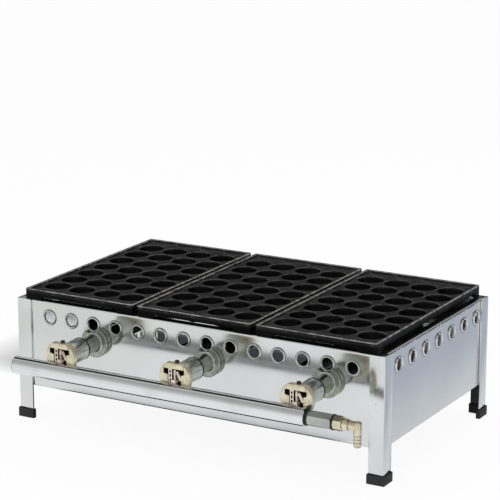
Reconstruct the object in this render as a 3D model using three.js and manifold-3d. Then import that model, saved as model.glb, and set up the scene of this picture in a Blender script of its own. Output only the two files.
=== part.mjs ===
// Three-bay gas takoyaki maker: a sheet-steel box on four angle legs carries three loose
// cast-iron pans of half-round cups, each over its own burner fed from one gas pipe.
// Millimetres, +Z up, -Y towards the cook. The origin is on the table, at the middle of the frame.

import * as THREE from 'three';
import { mergeVertices } from 'three/addons/utils/BufferGeometryUtils.js';
import Module from 'manifold-3d';

const wasm = await Module();
wasm.setup();

// ---------------------------------------------------------------- driving sizes, in millimetres

const FIT = 0.3; // gap between two pieces that touch
const OVERRUN = 5; // how far a cutting body runs past the face that it cuts

const FRAME_WIDTH = 640;
const FRAME_DEPTH = 370;
const FRAME_HEIGHT = 195;
const FRAME_SIDE_MARGIN = 15; // from the outer pans' edges to the frame's sides
const FRAME_END_MARGIN = 1; // from the pans' ends to the frame's front and back
const LEG_FLANGE = 25;
const LEG_WALL = 3;
const FOOT_HEIGHT = 15;
const FOOT_WALL = 2;
const FOOT_SOLE = 3;

const PANEL_WALL = 1.5;
const PANEL_HEIGHT = 141;
const TOP_LIP = 13;
const BOTTOM_LIP = 10;
const AIR_HOLE_RADIUS = 9;
const AIR_HOLE_DROP = 25; // from the frame's top to the row of air holes
const AIR_RIM_WIDTH = 3.2;
const AIR_RIM_RISE = 2.5;
const FRONT_ROW_MARGIN = 52.8; // from the front panel's ends to the row's ends, on average
const FRONT_ROW_SHIFT = 3;
const FRONT_HOLE_COUNT = 14;
const SIDE_ROW_MARGIN = 42.8;
const SIDE_ROW_SHIFT = 5;
const SIDE_HOLE_COUNT = 7;

const RAIL_FLANGE = 18;
const RAIL_WALL = 2;
const BEARER_HEIGHT = 22;
const BEARER_WALL = 2.5;
const BEARER_FRONT_INSET = 26; // from the front panel to the first bar that the burners lie on
const BEARER_REAR_INSET = 70;

const CUP_COLUMNS = 4;
const CUP_ROWS = 7;
const CUP_DEPTH = 19.5;
const CUP_WALL = 3;
const CUP_LAND = 3.3; // plate left between two cups
const CUP_SHELL_GAP = 0.2; // between two cups on the underside
const PLATE_SIDE_BORDER = 3; // from the outer cups' squares to the rim
const PLATE_END_BORDER = 19;
const PAN_COUNT = 3;
const PAN_GAP = 8;
const PAN_RISE = 17; // from the frame's top to the pan's rim
const PLATE_DROP = 3; // from the rim down to the plate
const PLATE_WALL = 5;
const RIM_WALL = 4;
const PAN_SKIRT = 11; // height of the rim's outer face between the feet
const PAN_FOOT_WIDTH = 30;
const PAN_FOOT_DEPTH = 20;
const PAN_CORNER_RADIUS = 3;

const BURNER_DRAW_IN = 5; // how much nearer the burners stand than the pans
const BURNER_DROP = 51; // from the frame's top to the tube's axis
const RUN_OFFSET = 27; // each leg of the U-shaped burner from the burner's middle
const RUN_RADIUS = 12;
const RUN_REAR_MARGIN = 31.4; // from the bend's back to the rear panel's face
const INLET_RADIUS = 16;
const INLET_LENGTH = 18;
const INLET_STANDOFF = 4; // from the front panel's face to the inlet's mouth
const PORT_WIDTH = 3;
const PORT_DEPTH = 5;
const PORT_BRIDGE = 26; // metal left between two flame slots
const PORT_END_MARGIN = 33;
const PORT_COUNT = 3;

const SPIGOT_RADIUS = 11.5;
const SPIGOT_REACH = 12; // how far the mixing tube runs in behind the panel's face
const TUBE_BORE_RADIUS = 8;
const TUBE_MOUTH_RADIUS = 12;
const NECK_RADIUS = 13.5;
const NECK_LENGTH = 36;
const NECK_FLARE = 6;
const BARREL_RADIUS = 15;
const COLLAR_RADIUS = 23.5;
const COLLAR_THICKNESS = 7.3;
const COLLAR_GROOVE_WIDTH = 1.4;
const COLLAR_GROOVE_DEPTH = 1.2;
const STOP_RING_RADIUS = 17.7;
const STOP_RING_WIDTH = 2.6;
const SLEEVE_RADIUS = 17.4;
const SLEEVE_LENGTH = 31;
const AIR_SLOT_WIDTH = 12;
const AIR_SLOT_LENGTH = 14;

const HEAD_DISC_RADIUS = 20.5;
const HEAD_DISC_THICKNESS = 5;
const HEAD_GROOVE_WIDTH = 1.5;
const HEAD_GROOVE_DEPTH = 1.3;
const HEAD_BORE_RADIUS = 11;
const HEAD_NECK_RADIUS = 17;
const HEAD_NECK_LENGTH = 4;
const HEAD_WIDTH = 31;
const HEAD_LENGTH = 14.5;
const HEAD_TOP = 22.5; // from the tube's axis up to the flat top
const HEAD_BOTTOM = 15;
const HEAD_CHAMFER = 5;
const HEAD_WALL = 4;
const WINDOW_HEIGHT = 18;
const WINDOW_TOP = 15; // from the tube's axis up to the windows' upper edge
const SIDE_WINDOW_LENGTH = 7;
const LOCK_SCREW_RADIUS = 3.4;
const LOCK_SCREW_RISE = 2.4;
const LOCK_SHANK_RADIUS = 2;
const LOCK_SHANK_LENGTH = 4;
const LOCK_SCREW_INSET = 4; // from the cage's back
const LOCK_SLOT_WIDTH = 1;
const LOCK_SLOT_DEPTH = 1;
const NOZZLE_STEM_RADIUS = 3.8;
const NOZZLE_HEX = 10; // across the flats
const NOZZLE_HEX_HEIGHT = 6;
const NOZZLE_JET_RADIUS = 3;
const NOZZLE_JET_LENGTH = 19;
const NOZZLE_TIP_RADIUS = 1.6;
const NOZZLE_TIP_LENGTH = 5;
const NOZZLE_COLUMN_RADIUS = 4.8;
const NOZZLE_COLUMN_TOP = 12.5; // from the tube's axis

const PIPE_RADIUS = 13.6;
const PIPE_WALL = 2.8;
const PIPE_DROP = 21.5; // from the mixing tubes' axis down to the pipe's axis
const PIPE_OUTSET = 0.5; // from the cages' front faces to the pipe's axis
const PIPE_LEFT_OVERHANG = 78; // beyond the outer nozzles
const PIPE_RIGHT_OVERHANG = 18.4;
const CAP_LENGTH = 4;
const CAP_PLUG_LENGTH = 8;
const END_RING_LENGTH = 4.2;
const END_RING_RADIUS = 12.4;
const SOCKET_HEX = 22;
const SOCKET_HEX_LENGTH = 35.6;
const SOCKET_BORE_RADIUS = 5;
const GASKET_RADIUS = 10.6;
const GASKET_LENGTH = 2;
const UNION_HEX = 21;
const UNION_HEX_LENGTH = 14.9;
const ELBOW_COLLAR_RADIUS = 8;
const ELBOW_COLLAR_LENGTH = 4.5;
const ELBOW_TUBE_RADIUS = 5.8;
const ELBOW_ARM = 17.6; // from the collar to the hose tail's axis
const TAIL_RADIUS = 4.6;
const TAIL_BORE_RADIUS = 2.4;
const TAIL_BARB_RADIUS = 5.7;
const TAIL_DROP = 31.2; // from the pipe's axis to the tail's lower end
const TAIL_BARB_PITCH = 4.5;
const TAIL_BARB_COUNT = 3;
const TAIL_NECK_LENGTH = 1; // between the elbow's body and the first barb

// ---------------------------------------------------------------- shares of the sizes above

const RIM_CREST_SHARE = 0.45; // of an air hole's rim, where its crest lies
const SEAT_SHARE = 0.3; // of a bearer bar's height, beside a burner leg
const CHAMFER_SHARE = 0.35; // of a turned end, where its edge is broken
const BARB_SHARE = 0.7; // of a barb's pitch, along its slope
const KNEE_RADIUS_SHARE = 0.8; // of a cup's radius, where its wall turns in
const KNEE_DEPTH_SHARE = 0.56; // of a cup's depth
const FLOOR_RADIUS_SHARE = 0.35;
const SHELL_FLOOR_SHARE = 0.68; // of the shell's radius, under a cup

// ---------------------------------------------------------------- counts of faces

const CUP_SIDES = 8;
const CUP_OUTER_SIDES = 8;
const HOLE_SIDES = 8;
const TUBE_SIDES = 12;
const PIPE_SIDES = 16;
const SMALL_SIDES = 8;
const RUN_SIDES = 8;
const BEND_STEPS = 6;
const HEX_SIDES = 6;
const RUN_PHASE = Math.PI / RUN_SIDES; // puts a flat on top of a burner leg

// ---------------------------------------------------------------- places worked out from the sizes

const PAN_WIDTH = (FRAME_WIDTH - 2 * (FRAME_SIDE_MARGIN + PAN_GAP)) / PAN_COUNT;
const PAN_DEPTH = FRAME_DEPTH - 2 * FRAME_END_MARGIN;
const PAN_PITCH = PAN_WIDTH + PAN_GAP;
const PANS = [-PAN_PITCH, 0, PAN_PITCH];
const CUP_PITCH_ACROSS = (PAN_WIDTH - 2 * (PLATE_SIDE_BORDER + RIM_WALL)) / CUP_COLUMNS;
const CUP_PITCH_ALONG = (PAN_DEPTH - 2 * (PLATE_END_BORDER + RIM_WALL)) / CUP_ROWS;
const CUP_PITCH = Math.min(CUP_PITCH_ACROSS, CUP_PITCH_ALONG);
const CUP_RADIUS = (CUP_PITCH - CUP_LAND) / 2;
const CUP_OUTER_RADIUS = (CUP_PITCH - CUP_SHELL_GAP) / 2;
const PANEL_INSET = LEG_WALL + FIT;
const PANEL_FACE_Y = -FRAME_DEPTH / 2 + PANEL_INSET;
const PANEL_FACE_X = FRAME_WIDTH / 2 - PANEL_INSET;
const PANEL_FOOT = FRAME_HEIGHT - PANEL_HEIGHT;
const FRONT_HOLE_PITCH = 2 * (PANEL_FACE_X - FRONT_ROW_MARGIN) / (FRONT_HOLE_COUNT - 1);
const SIDE_HOLE_PITCH = 2 * (-PANEL_FACE_Y - SIDE_ROW_MARGIN) / (SIDE_HOLE_COUNT - 1);
const FIRST_HOLE = FRONT_ROW_SHIFT - FRONT_HOLE_PITCH * (FRONT_HOLE_COUNT - 1) / 2;
const AIR_HOLE_HEIGHT = FRAME_HEIGHT - AIR_HOLE_DROP;
const PLATE_HEIGHT = FRAME_HEIGHT + PAN_RISE - PLATE_DROP;
const BURNER_PITCH = PAN_PITCH - BURNER_DRAW_IN;
const BURNER_HEIGHT = FRAME_HEIGHT - BURNER_DROP;
const BURNERS = [-BURNER_PITCH, 0, BURNER_PITCH];
const BEARER_FRONT_Y = PANEL_FACE_Y + PANEL_WALL + BEARER_FRONT_INSET;
const BEARER_REAR_Y = -PANEL_FACE_Y - PANEL_WALL - BEARER_REAR_INSET;
const RUN_START = INLET_STANDOFF + INLET_LENGTH / 2;
const RUN_END = -2 * PANEL_FACE_Y - RUN_REAR_MARGIN - RUN_RADIUS - RUN_OFFSET;
const RUN_LENGTH = RUN_END - RUN_START;
const NECK_START = COLLAR_THICKNESS + FIT;
const BARREL_START = NECK_START + NECK_LENGTH;
const SLEEVE_START = BARREL_START + STOP_RING_WIDTH + FIT;
const BARREL_END = SLEEVE_START + SLEEVE_LENGTH;
const HEAD_START = BARREL_END + FIT;
const HEAD_BACK = HEAD_START + HEAD_DISC_THICKNESS + HEAD_NECK_LENGTH;
const NOZZLE_CORNER_RADIUS = NOZZLE_HEX / 2 / Math.cos(Math.PI / HEX_SIDES);
const NOZZLE_FORWARD = HEAD_BACK + HEAD_WALL + FIT + NOZZLE_CORNER_RADIUS;
const PIPE_FORWARD = HEAD_BACK + HEAD_LENGTH + PIPE_OUTSET;
const PIPE_Y = PANEL_FACE_Y - PIPE_FORWARD;
const PIPE_HEIGHT = BURNER_HEIGHT - PIPE_DROP;
const PIPE_LEFT = BURNER_PITCH - RUN_OFFSET + PIPE_LEFT_OVERHANG;
const PIPE_RIGHT = BURNER_PITCH + RUN_OFFSET + PIPE_RIGHT_OVERHANG;

// ---------------------------------------------------------------- finishes

function finish(color, roughness, metalness) {
  return () => new THREE.MeshStandardMaterial({ color, roughness, metalness });
}

const stainless = finish(0xc9ccd0, 0.22, 1);
const castIron = finish(0x2a2827, 0.6, 0.6);
const burnerIron = finish(0x3a3836, 0.7, 0.6);
const zinc = finish(0xa3aaa0, 0.35, 1);
const paleBrass = finish(0xc9bd94, 0.3, 1);
const chrome = finish(0xd9dadd, 0.12, 1);
const blackRubber = finish(0x141414, 0.75, 0);
const darkSteel = finish(0x2e2c2a, 0.5, 0.8);

// ---------------------------------------------------------------- solids

// A closed geometry becomes a solid whose faces point out.
function solid(geometry) {
  const bare = geometry.clone();
  bare.deleteAttribute('normal');
  bare.deleteAttribute('uv');
  const merged = mergeVertices(bare);
  const index = merged.index.array;
  const triVerts = [];
  for (let i = 0; i < index.length; i += 3) {
    const [a, b, c] = [index[i], index[i + 1], index[i + 2]];
    if (a !== b && b !== c && c !== a) triVerts.push(a, b, c);
  }
  const vertProperties = new Float32Array(merged.attributes.position.array);
  if (signedVolume(vertProperties, triVerts) < 0) triVerts.reverse();
  const mesh = new wasm.Mesh({ numProp: 3, vertProperties, triVerts: new Uint32Array(triVerts) });
  mesh.merge();
  return new wasm.Manifold(mesh);
}

function signedVolume(points, triangles) {
  const corner = [new THREE.Vector3(), new THREE.Vector3(), new THREE.Vector3()];
  let sum = 0;
  for (let i = 0; i < triangles.length; i += 3) {
    corner.forEach((v, k) => v.fromArray(points, 3 * triangles[i + k]));
    sum += corner[0].dot(corner[1].clone().cross(corner[2]));
  }
  return sum;
}

function toGeometry(manifold) {
  const { vertProperties, triVerts } = manifold.getMesh();
  const geometry = new THREE.BufferGeometry();
  geometry.setAttribute('position', new THREE.BufferAttribute(new Float32Array(vertProperties), 3));
  geometry.setIndex(Array.from(triVerts));
  geometry.computeVertexNormals();
  return geometry;
}

function piece(name, manifold, material) {
  const mesh = new THREE.Mesh(toGeometry(manifold), material());
  mesh.name = name;
  return mesh;
}

function joined(solids) {
  return solids.reduce((whole, next) => whole.add(next));
}

function box(width, depth, height, x = 0, y = 0, z = 0) {
  return solid(new THREE.BoxGeometry(width, depth, height).translate(x, y, z));
}

function polygon(points) {
  return new THREE.Shape(points.map(([x, y]) => new THREE.Vector2(x, y)));
}

function extruded(shape, length) {
  return new THREE.ExtrudeGeometry(shape, { depth: length, bevelEnabled: false, curveSegments: 1 });
}

// A profile of [radius, height] points turned about Z.
function turned(profile, sides, phase = 0) {
  const points = profile.map(([r, h]) => new THREE.Vector2(r, h));
  const lathe = new THREE.LatheGeometry(points, sides, phase);
  return solid(lathe.rotateX(Math.PI / 2));
}

// A tube's closed profile between two heights.
function ring(inner, outer, low, high) {
  return [[inner, low], [outer, low], [outer, high], [inner, high], [inner, low]];
}

function disc(radius, low, high) {
  return [[0, low], [radius, low], [radius, high], [0, high]];
}

// A six-sided bar about Z, with two of its flats facing along X.
function hexBar(acrossFlats, low, high, bore = 0) {
  const corner = acrossFlats / 2 / Math.cos(Math.PI / HEX_SIDES);
  const bar = turned(disc(corner, low, high), HEX_SIDES, Math.PI / HEX_SIDES);
  if (bore === 0) return bar;
  return bar.subtract(turned(disc(bore, low - OVERRUN, high + OVERRUN), SMALL_SIDES));
}

// Turns a body made about Z so that its height runs forward, towards -Y.
function facingForward(body) {
  return body.rotate([90, 0, 0]);
}

// Turns a body made about Z so that its height runs inwards, towards +Y.
function facingInward(body) {
  return body.rotate([-90, 0, 0]);
}

// A closed skin over rings of as many points each, with flat ends.
function skinned(rings) {
  const sides = rings[0].length;
  const end = (rings.length - 1) * sides;
  const index = [];
  for (let i = 0; i < end; i += sides) {
    for (let k = 0; k < sides; k += 1) {
      const next = (k + 1) % sides;
      index.push(i + k, i + next, i + next + sides);
      index.push(i + k, i + next + sides, i + k + sides);
    }
  }
  for (let k = 1; k < sides - 1; k += 1) {
    index.push(0, k + 1, k);
    index.push(end, end + k, end + k + 1);
  }
  const geometry = new THREE.BufferGeometry();
  geometry.setAttribute('position', new THREE.Float32BufferAttribute(rings.flat(2), 3));
  geometry.setIndex(index);
  return solid(geometry);
}

// A ring of points round a bar that lies flat and points to +Y, turned by an angle about Z.
function ringRound(radius, sides, phase, x, y, turn) {
  const points = [];
  for (let k = 0; k < sides; k += 1) {
    const angle = phase + 2 * Math.PI * k / sides;
    const out = radius * Math.cos(angle);
    points.push([x + out * Math.cos(turn), y + out * Math.sin(turn), radius * Math.sin(angle)]);
  }
  return points;
}

// The radius of a bore whose flats clear a shaft that turns in it.
function clearBore(shaftRadius, sides) {
  return (shaftRadius + FIT) / Math.cos(Math.PI / sides);
}

// Turns a body made about Z so that its height runs along +X.
function facingRight(body) {
  return body.rotate([0, 90, 0]);
}

// ---------------------------------------------------------------- frame

function angleProfile(flange, wall) {
  return polygon([[0, 0], [flange, 0], [flange, wall], [wall, wall], [wall, flange], [0, flange]]);
}

function leg() {
  const low = FOOT_SOLE + FIT;
  const bar = extruded(angleProfile(LEG_FLANGE, LEG_WALL), FRAME_HEIGHT - low);
  return solid(bar).translate([0, 0, low]);
}

function foot() {
  const arm = LEG_FLANGE + 2 * FOOT_WALL;
  const thickness = LEG_WALL + 2 * FOOT_WALL;
  const outer = solid(extruded(angleProfile(arm, thickness), FOOT_HEIGHT));
  const pocketArm = LEG_FLANGE + 2 * FIT;
  const pocketProfile = angleProfile(pocketArm, LEG_WALL + 2 * FIT);
  const pocket = solid(extruded(pocketProfile, FOOT_HEIGHT)).translate([-FIT, -FIT, FOOT_SOLE]);
  return outer.translate([-FOOT_WALL, -FOOT_WALL, 0]).subtract(pocket);
}

// The four corners share one leg, turned in quarter steps with the sides swapped by mirroring.
function frameCorners() {
  const corners = [
    ['front_left', 1, 1],
    ['front_right', -1, 1],
    ['rear_left', 1, -1],
    ['rear_right', -1, -1],
  ];
  const group = new THREE.Group();
  for (const [name, sx, sy] of corners) {
    const corner = [-sx * FRAME_WIDTH / 2, -sy * FRAME_DEPTH / 2, 0];
    const place = (body) => mirrored(body, sx, sy).translate(corner);
    group.add(piece(`leg_${name}`, place(leg()), stainless));
    group.add(piece(`foot_cap_${name}`, place(foot()), blackRubber));
  }
  return group;
}

function mirrored(body, sx, sy) {
  const acrossX = sx < 0 ? body.mirror([1, 0, 0]) : body;
  return sy < 0 ? acrossX.mirror([0, 1, 0]) : acrossX;
}

// A bent sheet: upright wall with a lip turned inwards at its top and bottom. The wall's outer
// face is on Y = 0, the sheet runs along X and its lower edge is on Z = 0.
function bentSheet(length, topLip, bottomLip) {
  const section = polygon([
    [0, 0],
    [bottomLip, 0],
    [bottomLip, PANEL_WALL],
    [PANEL_WALL, PANEL_WALL],
    [PANEL_WALL, PANEL_HEIGHT - PANEL_WALL],
    [topLip, PANEL_HEIGHT - PANEL_WALL],
    [topLip, PANEL_HEIGHT],
    [0, PANEL_HEIGHT],
  ]);
  const sheet = extruded(section, length).translate(0, 0, -length / 2);
  return solid(sheet.rotateX(Math.PI / 2).rotateZ(Math.PI / 2));
}

// Air holes pressed outwards: a raised rim round each, and the hole right through it.
function withAirHoles(sheet, count, pitch, shift) {
  const height = AIR_HOLE_HEIGHT - PANEL_FOOT;
  const first = shift - pitch * (count - 1) / 2;
  let body = sheet;
  const rimFoot = AIR_HOLE_RADIUS + AIR_RIM_WIDTH;
  const crest = AIR_HOLE_RADIUS + AIR_RIM_WIDTH * RIM_CREST_SHARE;
  const rimProfile = [
    [0, -PANEL_WALL / 2],
    [rimFoot, -PANEL_WALL / 2],
    [rimFoot, 0],
    [crest, AIR_RIM_RISE],
    [0, AIR_RIM_RISE],
  ];
  const cutProfile = disc(AIR_HOLE_RADIUS, -PANEL_WALL - OVERRUN, AIR_RIM_RISE + OVERRUN);
  for (let i = 0; i < count; i += 1) {
    const at = [first + i * pitch, 0, height];
    body = body.add(facingForward(turned(rimProfile, HOLE_SIDES)).translate(at));
    body = body.subtract(facingForward(turned(cutProfile, HOLE_SIDES)).translate(at));
  }
  return body;
}

function frontPanel() {
  const length = 2 * PANEL_FACE_X;
  const sheet = bentSheet(length, TOP_LIP, BOTTOM_LIP);
  let body = withAirHoles(sheet, FRONT_HOLE_COUNT, FRONT_HOLE_PITCH, FRONT_ROW_SHIFT);
  const passage = disc(SPIGOT_RADIUS + FIT, -PANEL_WALL - OVERRUN, OVERRUN);
  for (const x of BURNERS) {
    const at = [x + RUN_OFFSET, 0, BURNER_HEIGHT - PANEL_FOOT];
    body = body.subtract(facingForward(turned(passage, TUBE_SIDES)).translate(at));
  }
  return body.translate([0, PANEL_FACE_Y, PANEL_FOOT]);
}

function rearPanel() {
  const body = bentSheet(2 * PANEL_FACE_X, TOP_LIP, BOTTOM_LIP);
  return body.rotate([0, 0, 180]).translate([0, -PANEL_FACE_Y, PANEL_FOOT]);
}

// The side sheets stand between the front and rear ones and stop short of their lips.
function sidePanel(side) {
  const length = -2 * PANEL_FACE_Y - 2 * (TOP_LIP + FIT);
  const wallLength = -2 * PANEL_FACE_Y - 2 * (PANEL_WALL + FIT);
  const lips = bentSheet(length, TOP_LIP, BOTTOM_LIP);
  const wallHeight = PANEL_HEIGHT - 2 * (PANEL_WALL + FIT);
  const wall = box(wallLength, PANEL_WALL, wallHeight, 0, PANEL_WALL / 2, PANEL_HEIGHT / 2);
  const shift = side * SIDE_ROW_SHIFT;
  const body = withAirHoles(lips.add(wall), SIDE_HOLE_COUNT, SIDE_HOLE_PITCH, shift);
  return body.rotate([0, 0, side * 90]).translate([side * PANEL_FACE_X, 0, PANEL_FOOT]);
}

// An angle bar along Y, hung under the lips between two bays.
function crossRail(x) {
  const length = -2 * PANEL_FACE_Y - 2 * (PANEL_WALL + FIT);
  const top = FRAME_HEIGHT - PANEL_WALL - FIT;
  const bar = extruded(angleProfile(RAIL_FLANGE, RAIL_WALL), length).translate(0, 0, -length / 2);
  const body = solid(bar.rotateX(Math.PI / 2).rotateY(Math.PI / 2));
  return body.translate([x - RAIL_FLANGE / 2, 0, top]);
}

// A flat bar on edge from side to side, cut out for the burner legs that lie on it.
function bearerBar(y) {
  const length = 2 * (PANEL_FACE_X - PANEL_WALL - FIT);
  const top = BURNER_HEIGHT - RUN_RADIUS + SEAT_SHARE * BEARER_HEIGHT;
  const reach = BEARER_WALL + OVERRUN;
  const seat = facingForward(turned(disc(RUN_RADIUS + FIT, -reach, reach), RUN_SIDES, RUN_PHASE));
  let bar = box(length, BEARER_WALL, BEARER_HEIGHT, 0, y, top - BEARER_HEIGHT / 2);
  for (const x of BURNERS) {
    bar = bar.subtract(seat.translate([x - RUN_OFFSET, y, BURNER_HEIGHT]));
    bar = bar.subtract(seat.translate([x + RUN_OFFSET, y, BURNER_HEIGHT]));
  }
  return bar;
}

function boxFrame() {
  const group = new THREE.Group();
  group.add(piece('front_panel', frontPanel(), stainless));
  group.add(piece('rear_panel', rearPanel(), stainless));
  group.add(piece('left_panel', sidePanel(-1), stainless));
  group.add(piece('right_panel', sidePanel(1), stainless));
  group.add(piece('cross_rail_left', crossRail(-PAN_PITCH / 2), stainless));
  group.add(piece('cross_rail_right', crossRail(PAN_PITCH / 2), stainless));
  group.add(piece('burner_bearer_front', bearerBar(BEARER_FRONT_Y), stainless));
  group.add(piece('burner_bearer_rear', bearerBar(BEARER_REAR_Y), stainless));
  return group;
}

// ---------------------------------------------------------------- pans

function cupPlaces() {
  const places = [];
  for (let i = 0; i < CUP_COLUMNS; i += 1) {
    const x = (i - (CUP_COLUMNS - 1) / 2) * CUP_PITCH_ACROSS;
    for (let j = 0; j < CUP_ROWS; j += 1) {
      places.push([x, (j - (CUP_ROWS - 1) / 2) * CUP_PITCH_ALONG]);
    }
  }
  return places;
}

function roundedRectangle(width, depth, radius) {
  const [x, y] = [width / 2, depth / 2];
  return polygon([
    [-x + radius, -y],
    [x - radius, -y],
    [x, -y + radius],
    [x, y - radius],
    [x - radius, y],
    [-x + radius, y],
    [-x, y - radius],
    [-x, -y + radius],
  ]);
}

function cupHollow() {
  const profile = [
    [0, -CUP_DEPTH],
    [FLOOR_RADIUS_SHARE * CUP_RADIUS, -CUP_DEPTH],
    [KNEE_RADIUS_SHARE * CUP_RADIUS, -KNEE_DEPTH_SHARE * CUP_DEPTH],
    [CUP_RADIUS, 0],
    [CUP_RADIUS, OVERRUN],
    [0, OVERRUN],
  ];
  return turned(profile, CUP_SIDES);
}

function cupShell() {
  const profile = [
    [0, -CUP_DEPTH - CUP_WALL],
    [SHELL_FLOOR_SHARE * CUP_OUTER_RADIUS, -CUP_DEPTH - CUP_WALL],
    [CUP_OUTER_RADIUS, -PLATE_WALL / 2],
    [0, -PLATE_WALL / 2],
  ];
  return turned(profile, CUP_OUTER_SIDES, Math.PI / CUP_OUTER_SIDES);
}

// Heights here are from the plate's upper face.
function panBody() {
  const footDepth = PAN_RISE - PLATE_DROP - FIT;
  const skirtDepth = PAN_SKIRT - PLATE_DROP;
  const outline = roundedRectangle(PAN_WIDTH, PAN_DEPTH, PAN_CORNER_RADIUS);
  const [innerWidth, innerDepth] = [PAN_WIDTH - 2 * RIM_WALL, PAN_DEPTH - 2 * RIM_WALL];
  const inner = roundedRectangle(innerWidth, innerDepth, PAN_CORNER_RADIUS);
  const block = solid(extruded(outline, footDepth + PLATE_DROP)).translate([0, 0, -footDepth]);
  const tray = solid(extruded(inner, PLATE_DROP + OVERRUN));
  const cavity = solid(extruded(inner, footDepth)).translate([0, 0, -footDepth - PLATE_WALL]);
  const gap = footDepth - skirtDepth + OVERRUN;
  const gapHeight = -skirtDepth - gap / 2;
  const frontGap = box(PAN_WIDTH - 2 * PAN_FOOT_WIDTH, PAN_DEPTH + OVERRUN, gap, 0, 0, gapHeight);
  const sideGap = box(PAN_WIDTH + OVERRUN, PAN_DEPTH - 2 * PAN_FOOT_DEPTH, gap, 0, 0, gapHeight);
  return block.subtract(tray).subtract(cavity).subtract(frontGap).subtract(sideGap);
}

function pan() {
  const shell = cupShell();
  const hollow = cupHollow();
  const places = cupPlaces();
  const shells = joined(places.map(([x, y]) => shell.translate([x, y, 0])));
  const hollows = joined(places.map(([x, y]) => hollow.translate([x, y, 0])));
  return panBody().add(shells).subtract(hollows);
}

function pans() {
  const group = new THREE.Group();
  const names = ['pan_left', 'pan_middle', 'pan_right'];
  const body = pan();
  PANS.forEach((x, i) => {
    group.add(piece(names[i], body.translate([x, 0, PLATE_HEIGHT]), castIron));
  });
  return group;
}

// ---------------------------------------------------------------- burners

// The U-shaped burner lies flat: a leg behind the inlet, a half-round bend at the back and a
// second leg that ends blind at the front. Places are from the inlet's axis at the panel's face.
function burnerRuns() {
  const ringAt = (x, y, turn) => ringRound(RUN_RADIUS, RUN_SIDES, RUN_PHASE, x, y, turn);
  const rings = [ringAt(RUN_OFFSET, -RUN_LENGTH, 0)];
  for (let i = 0; i <= BEND_STEPS; i += 1) {
    const turn = Math.PI * i / BEND_STEPS;
    rings.push(ringAt(RUN_OFFSET * Math.cos(turn), RUN_OFFSET * Math.sin(turn), turn));
  }
  rings.push(ringAt(-RUN_OFFSET, -RUN_LENGTH, Math.PI));
  return skinned(rings).translate([-RUN_OFFSET, RUN_START + RUN_LENGTH, 0]);
}

function flamePorts() {
  const slots = [];
  const span = RUN_LENGTH - 2 * PORT_END_MARGIN;
  const length = (span - (PORT_COUNT - 1) * PORT_BRIDGE) / PORT_COUNT;
  const first = RUN_START + PORT_END_MARGIN + length / 2;
  for (let i = 0; i < PORT_COUNT; i += 1) {
    const y = first + i * (length + PORT_BRIDGE);
    for (const x of [0, -2 * RUN_OFFSET]) {
      slots.push(box(PORT_WIDTH, length, 2 * PORT_DEPTH, x, y, RUN_RADIUS));
    }
  }
  return joined(slots);
}

function burnerPipe() {
  const inlet = disc(INLET_RADIUS, INLET_STANDOFF, INLET_STANDOFF + INLET_LENGTH);
  const socket = disc(SPIGOT_RADIUS + FIT, INLET_STANDOFF - OVERRUN, SPIGOT_REACH + FIT);
  const passage = disc(TUBE_BORE_RADIUS, SPIGOT_REACH, INLET_STANDOFF + 2 * INLET_LENGTH);
  return burnerRuns()
    .add(facingInward(turned(inlet, TUBE_SIDES)))
    .subtract(facingInward(turned(socket, TUBE_SIDES)))
    .subtract(facingInward(turned(passage, SMALL_SIDES)))
    .subtract(flamePorts());
}

// The collar is cut away round each air hole that it would cover.
function collar(burnerX) {
  const [inner, outer] = [SPIGOT_RADIUS + FIT, COLLAR_RADIUS];
  const groove = (COLLAR_THICKNESS - COLLAR_GROOVE_WIDTH) / 2;
  const profile = [
    [inner, FIT],
    [outer, FIT],
    [outer, groove],
    [outer - COLLAR_GROOVE_DEPTH, groove],
    [outer - COLLAR_GROOVE_DEPTH, groove + COLLAR_GROOVE_WIDTH],
    [outer, groove + COLLAR_GROOVE_WIDTH],
    [outer, COLLAR_THICKNESS],
    [inner, COLLAR_THICKNESS],
    [inner, FIT],
  ];
  const reach = COLLAR_THICKNESS + OVERRUN;
  const notchRadius = AIR_HOLE_RADIUS + AIR_RIM_WIDTH + 2 * FIT;
  const notch = turned(disc(notchRadius, -OVERRUN, reach), TUBE_SIDES);
  const rise = AIR_HOLE_HEIGHT - BURNER_HEIGHT;
  let body = turned(profile, TUBE_SIDES);
  for (let i = 0; i < FRONT_HOLE_COUNT; i += 1) {
    const hole = FIRST_HOLE + i * FRONT_HOLE_PITCH;
    body = body.subtract(notch.translate([hole - burnerX - RUN_OFFSET, rise, 0]));
  }
  return facingForward(body);
}

function airSlot() {
  const middle = (SLEEVE_START + BARREL_END) / 2;
  const drop = SLEEVE_RADIUS + OVERRUN;
  return box(AIR_SLOT_WIDTH, AIR_SLOT_LENGTH, drop, 0, -middle, -drop / 2);
}

function mixingTube() {
  const profile = [
    [TUBE_BORE_RADIUS, -SPIGOT_REACH],
    [SPIGOT_RADIUS, -SPIGOT_REACH],
    [SPIGOT_RADIUS, NECK_START],
    [NECK_RADIUS + NECK_FLARE, NECK_START],
    [NECK_RADIUS, NECK_START + NECK_FLARE],
    [NECK_RADIUS, BARREL_START],
    [BARREL_RADIUS, BARREL_START],
    [BARREL_RADIUS, BARREL_END],
    [TUBE_MOUTH_RADIUS, BARREL_END],
    [TUBE_BORE_RADIUS, BARREL_START],
    [TUBE_BORE_RADIUS, -SPIGOT_REACH],
  ];
  return facingForward(turned(profile, TUBE_SIDES)).subtract(airSlot());
}

function stopRing() {
  const end = BARREL_START + STOP_RING_WIDTH;
  const profile = ring(BARREL_RADIUS + FIT, STOP_RING_RADIUS, BARREL_START, end);
  return facingForward(turned(profile, TUBE_SIDES));
}

function airSleeve() {
  const bore = clearBore(BARREL_RADIUS, TUBE_SIDES);
  const profile = ring(bore, SLEEVE_RADIUS, SLEEVE_START, BARREL_END);
  return facingForward(turned(profile, TUBE_SIDES)).subtract(airSlot());
}

// ---------------------------------------------------------------- nozzle heads

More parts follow.
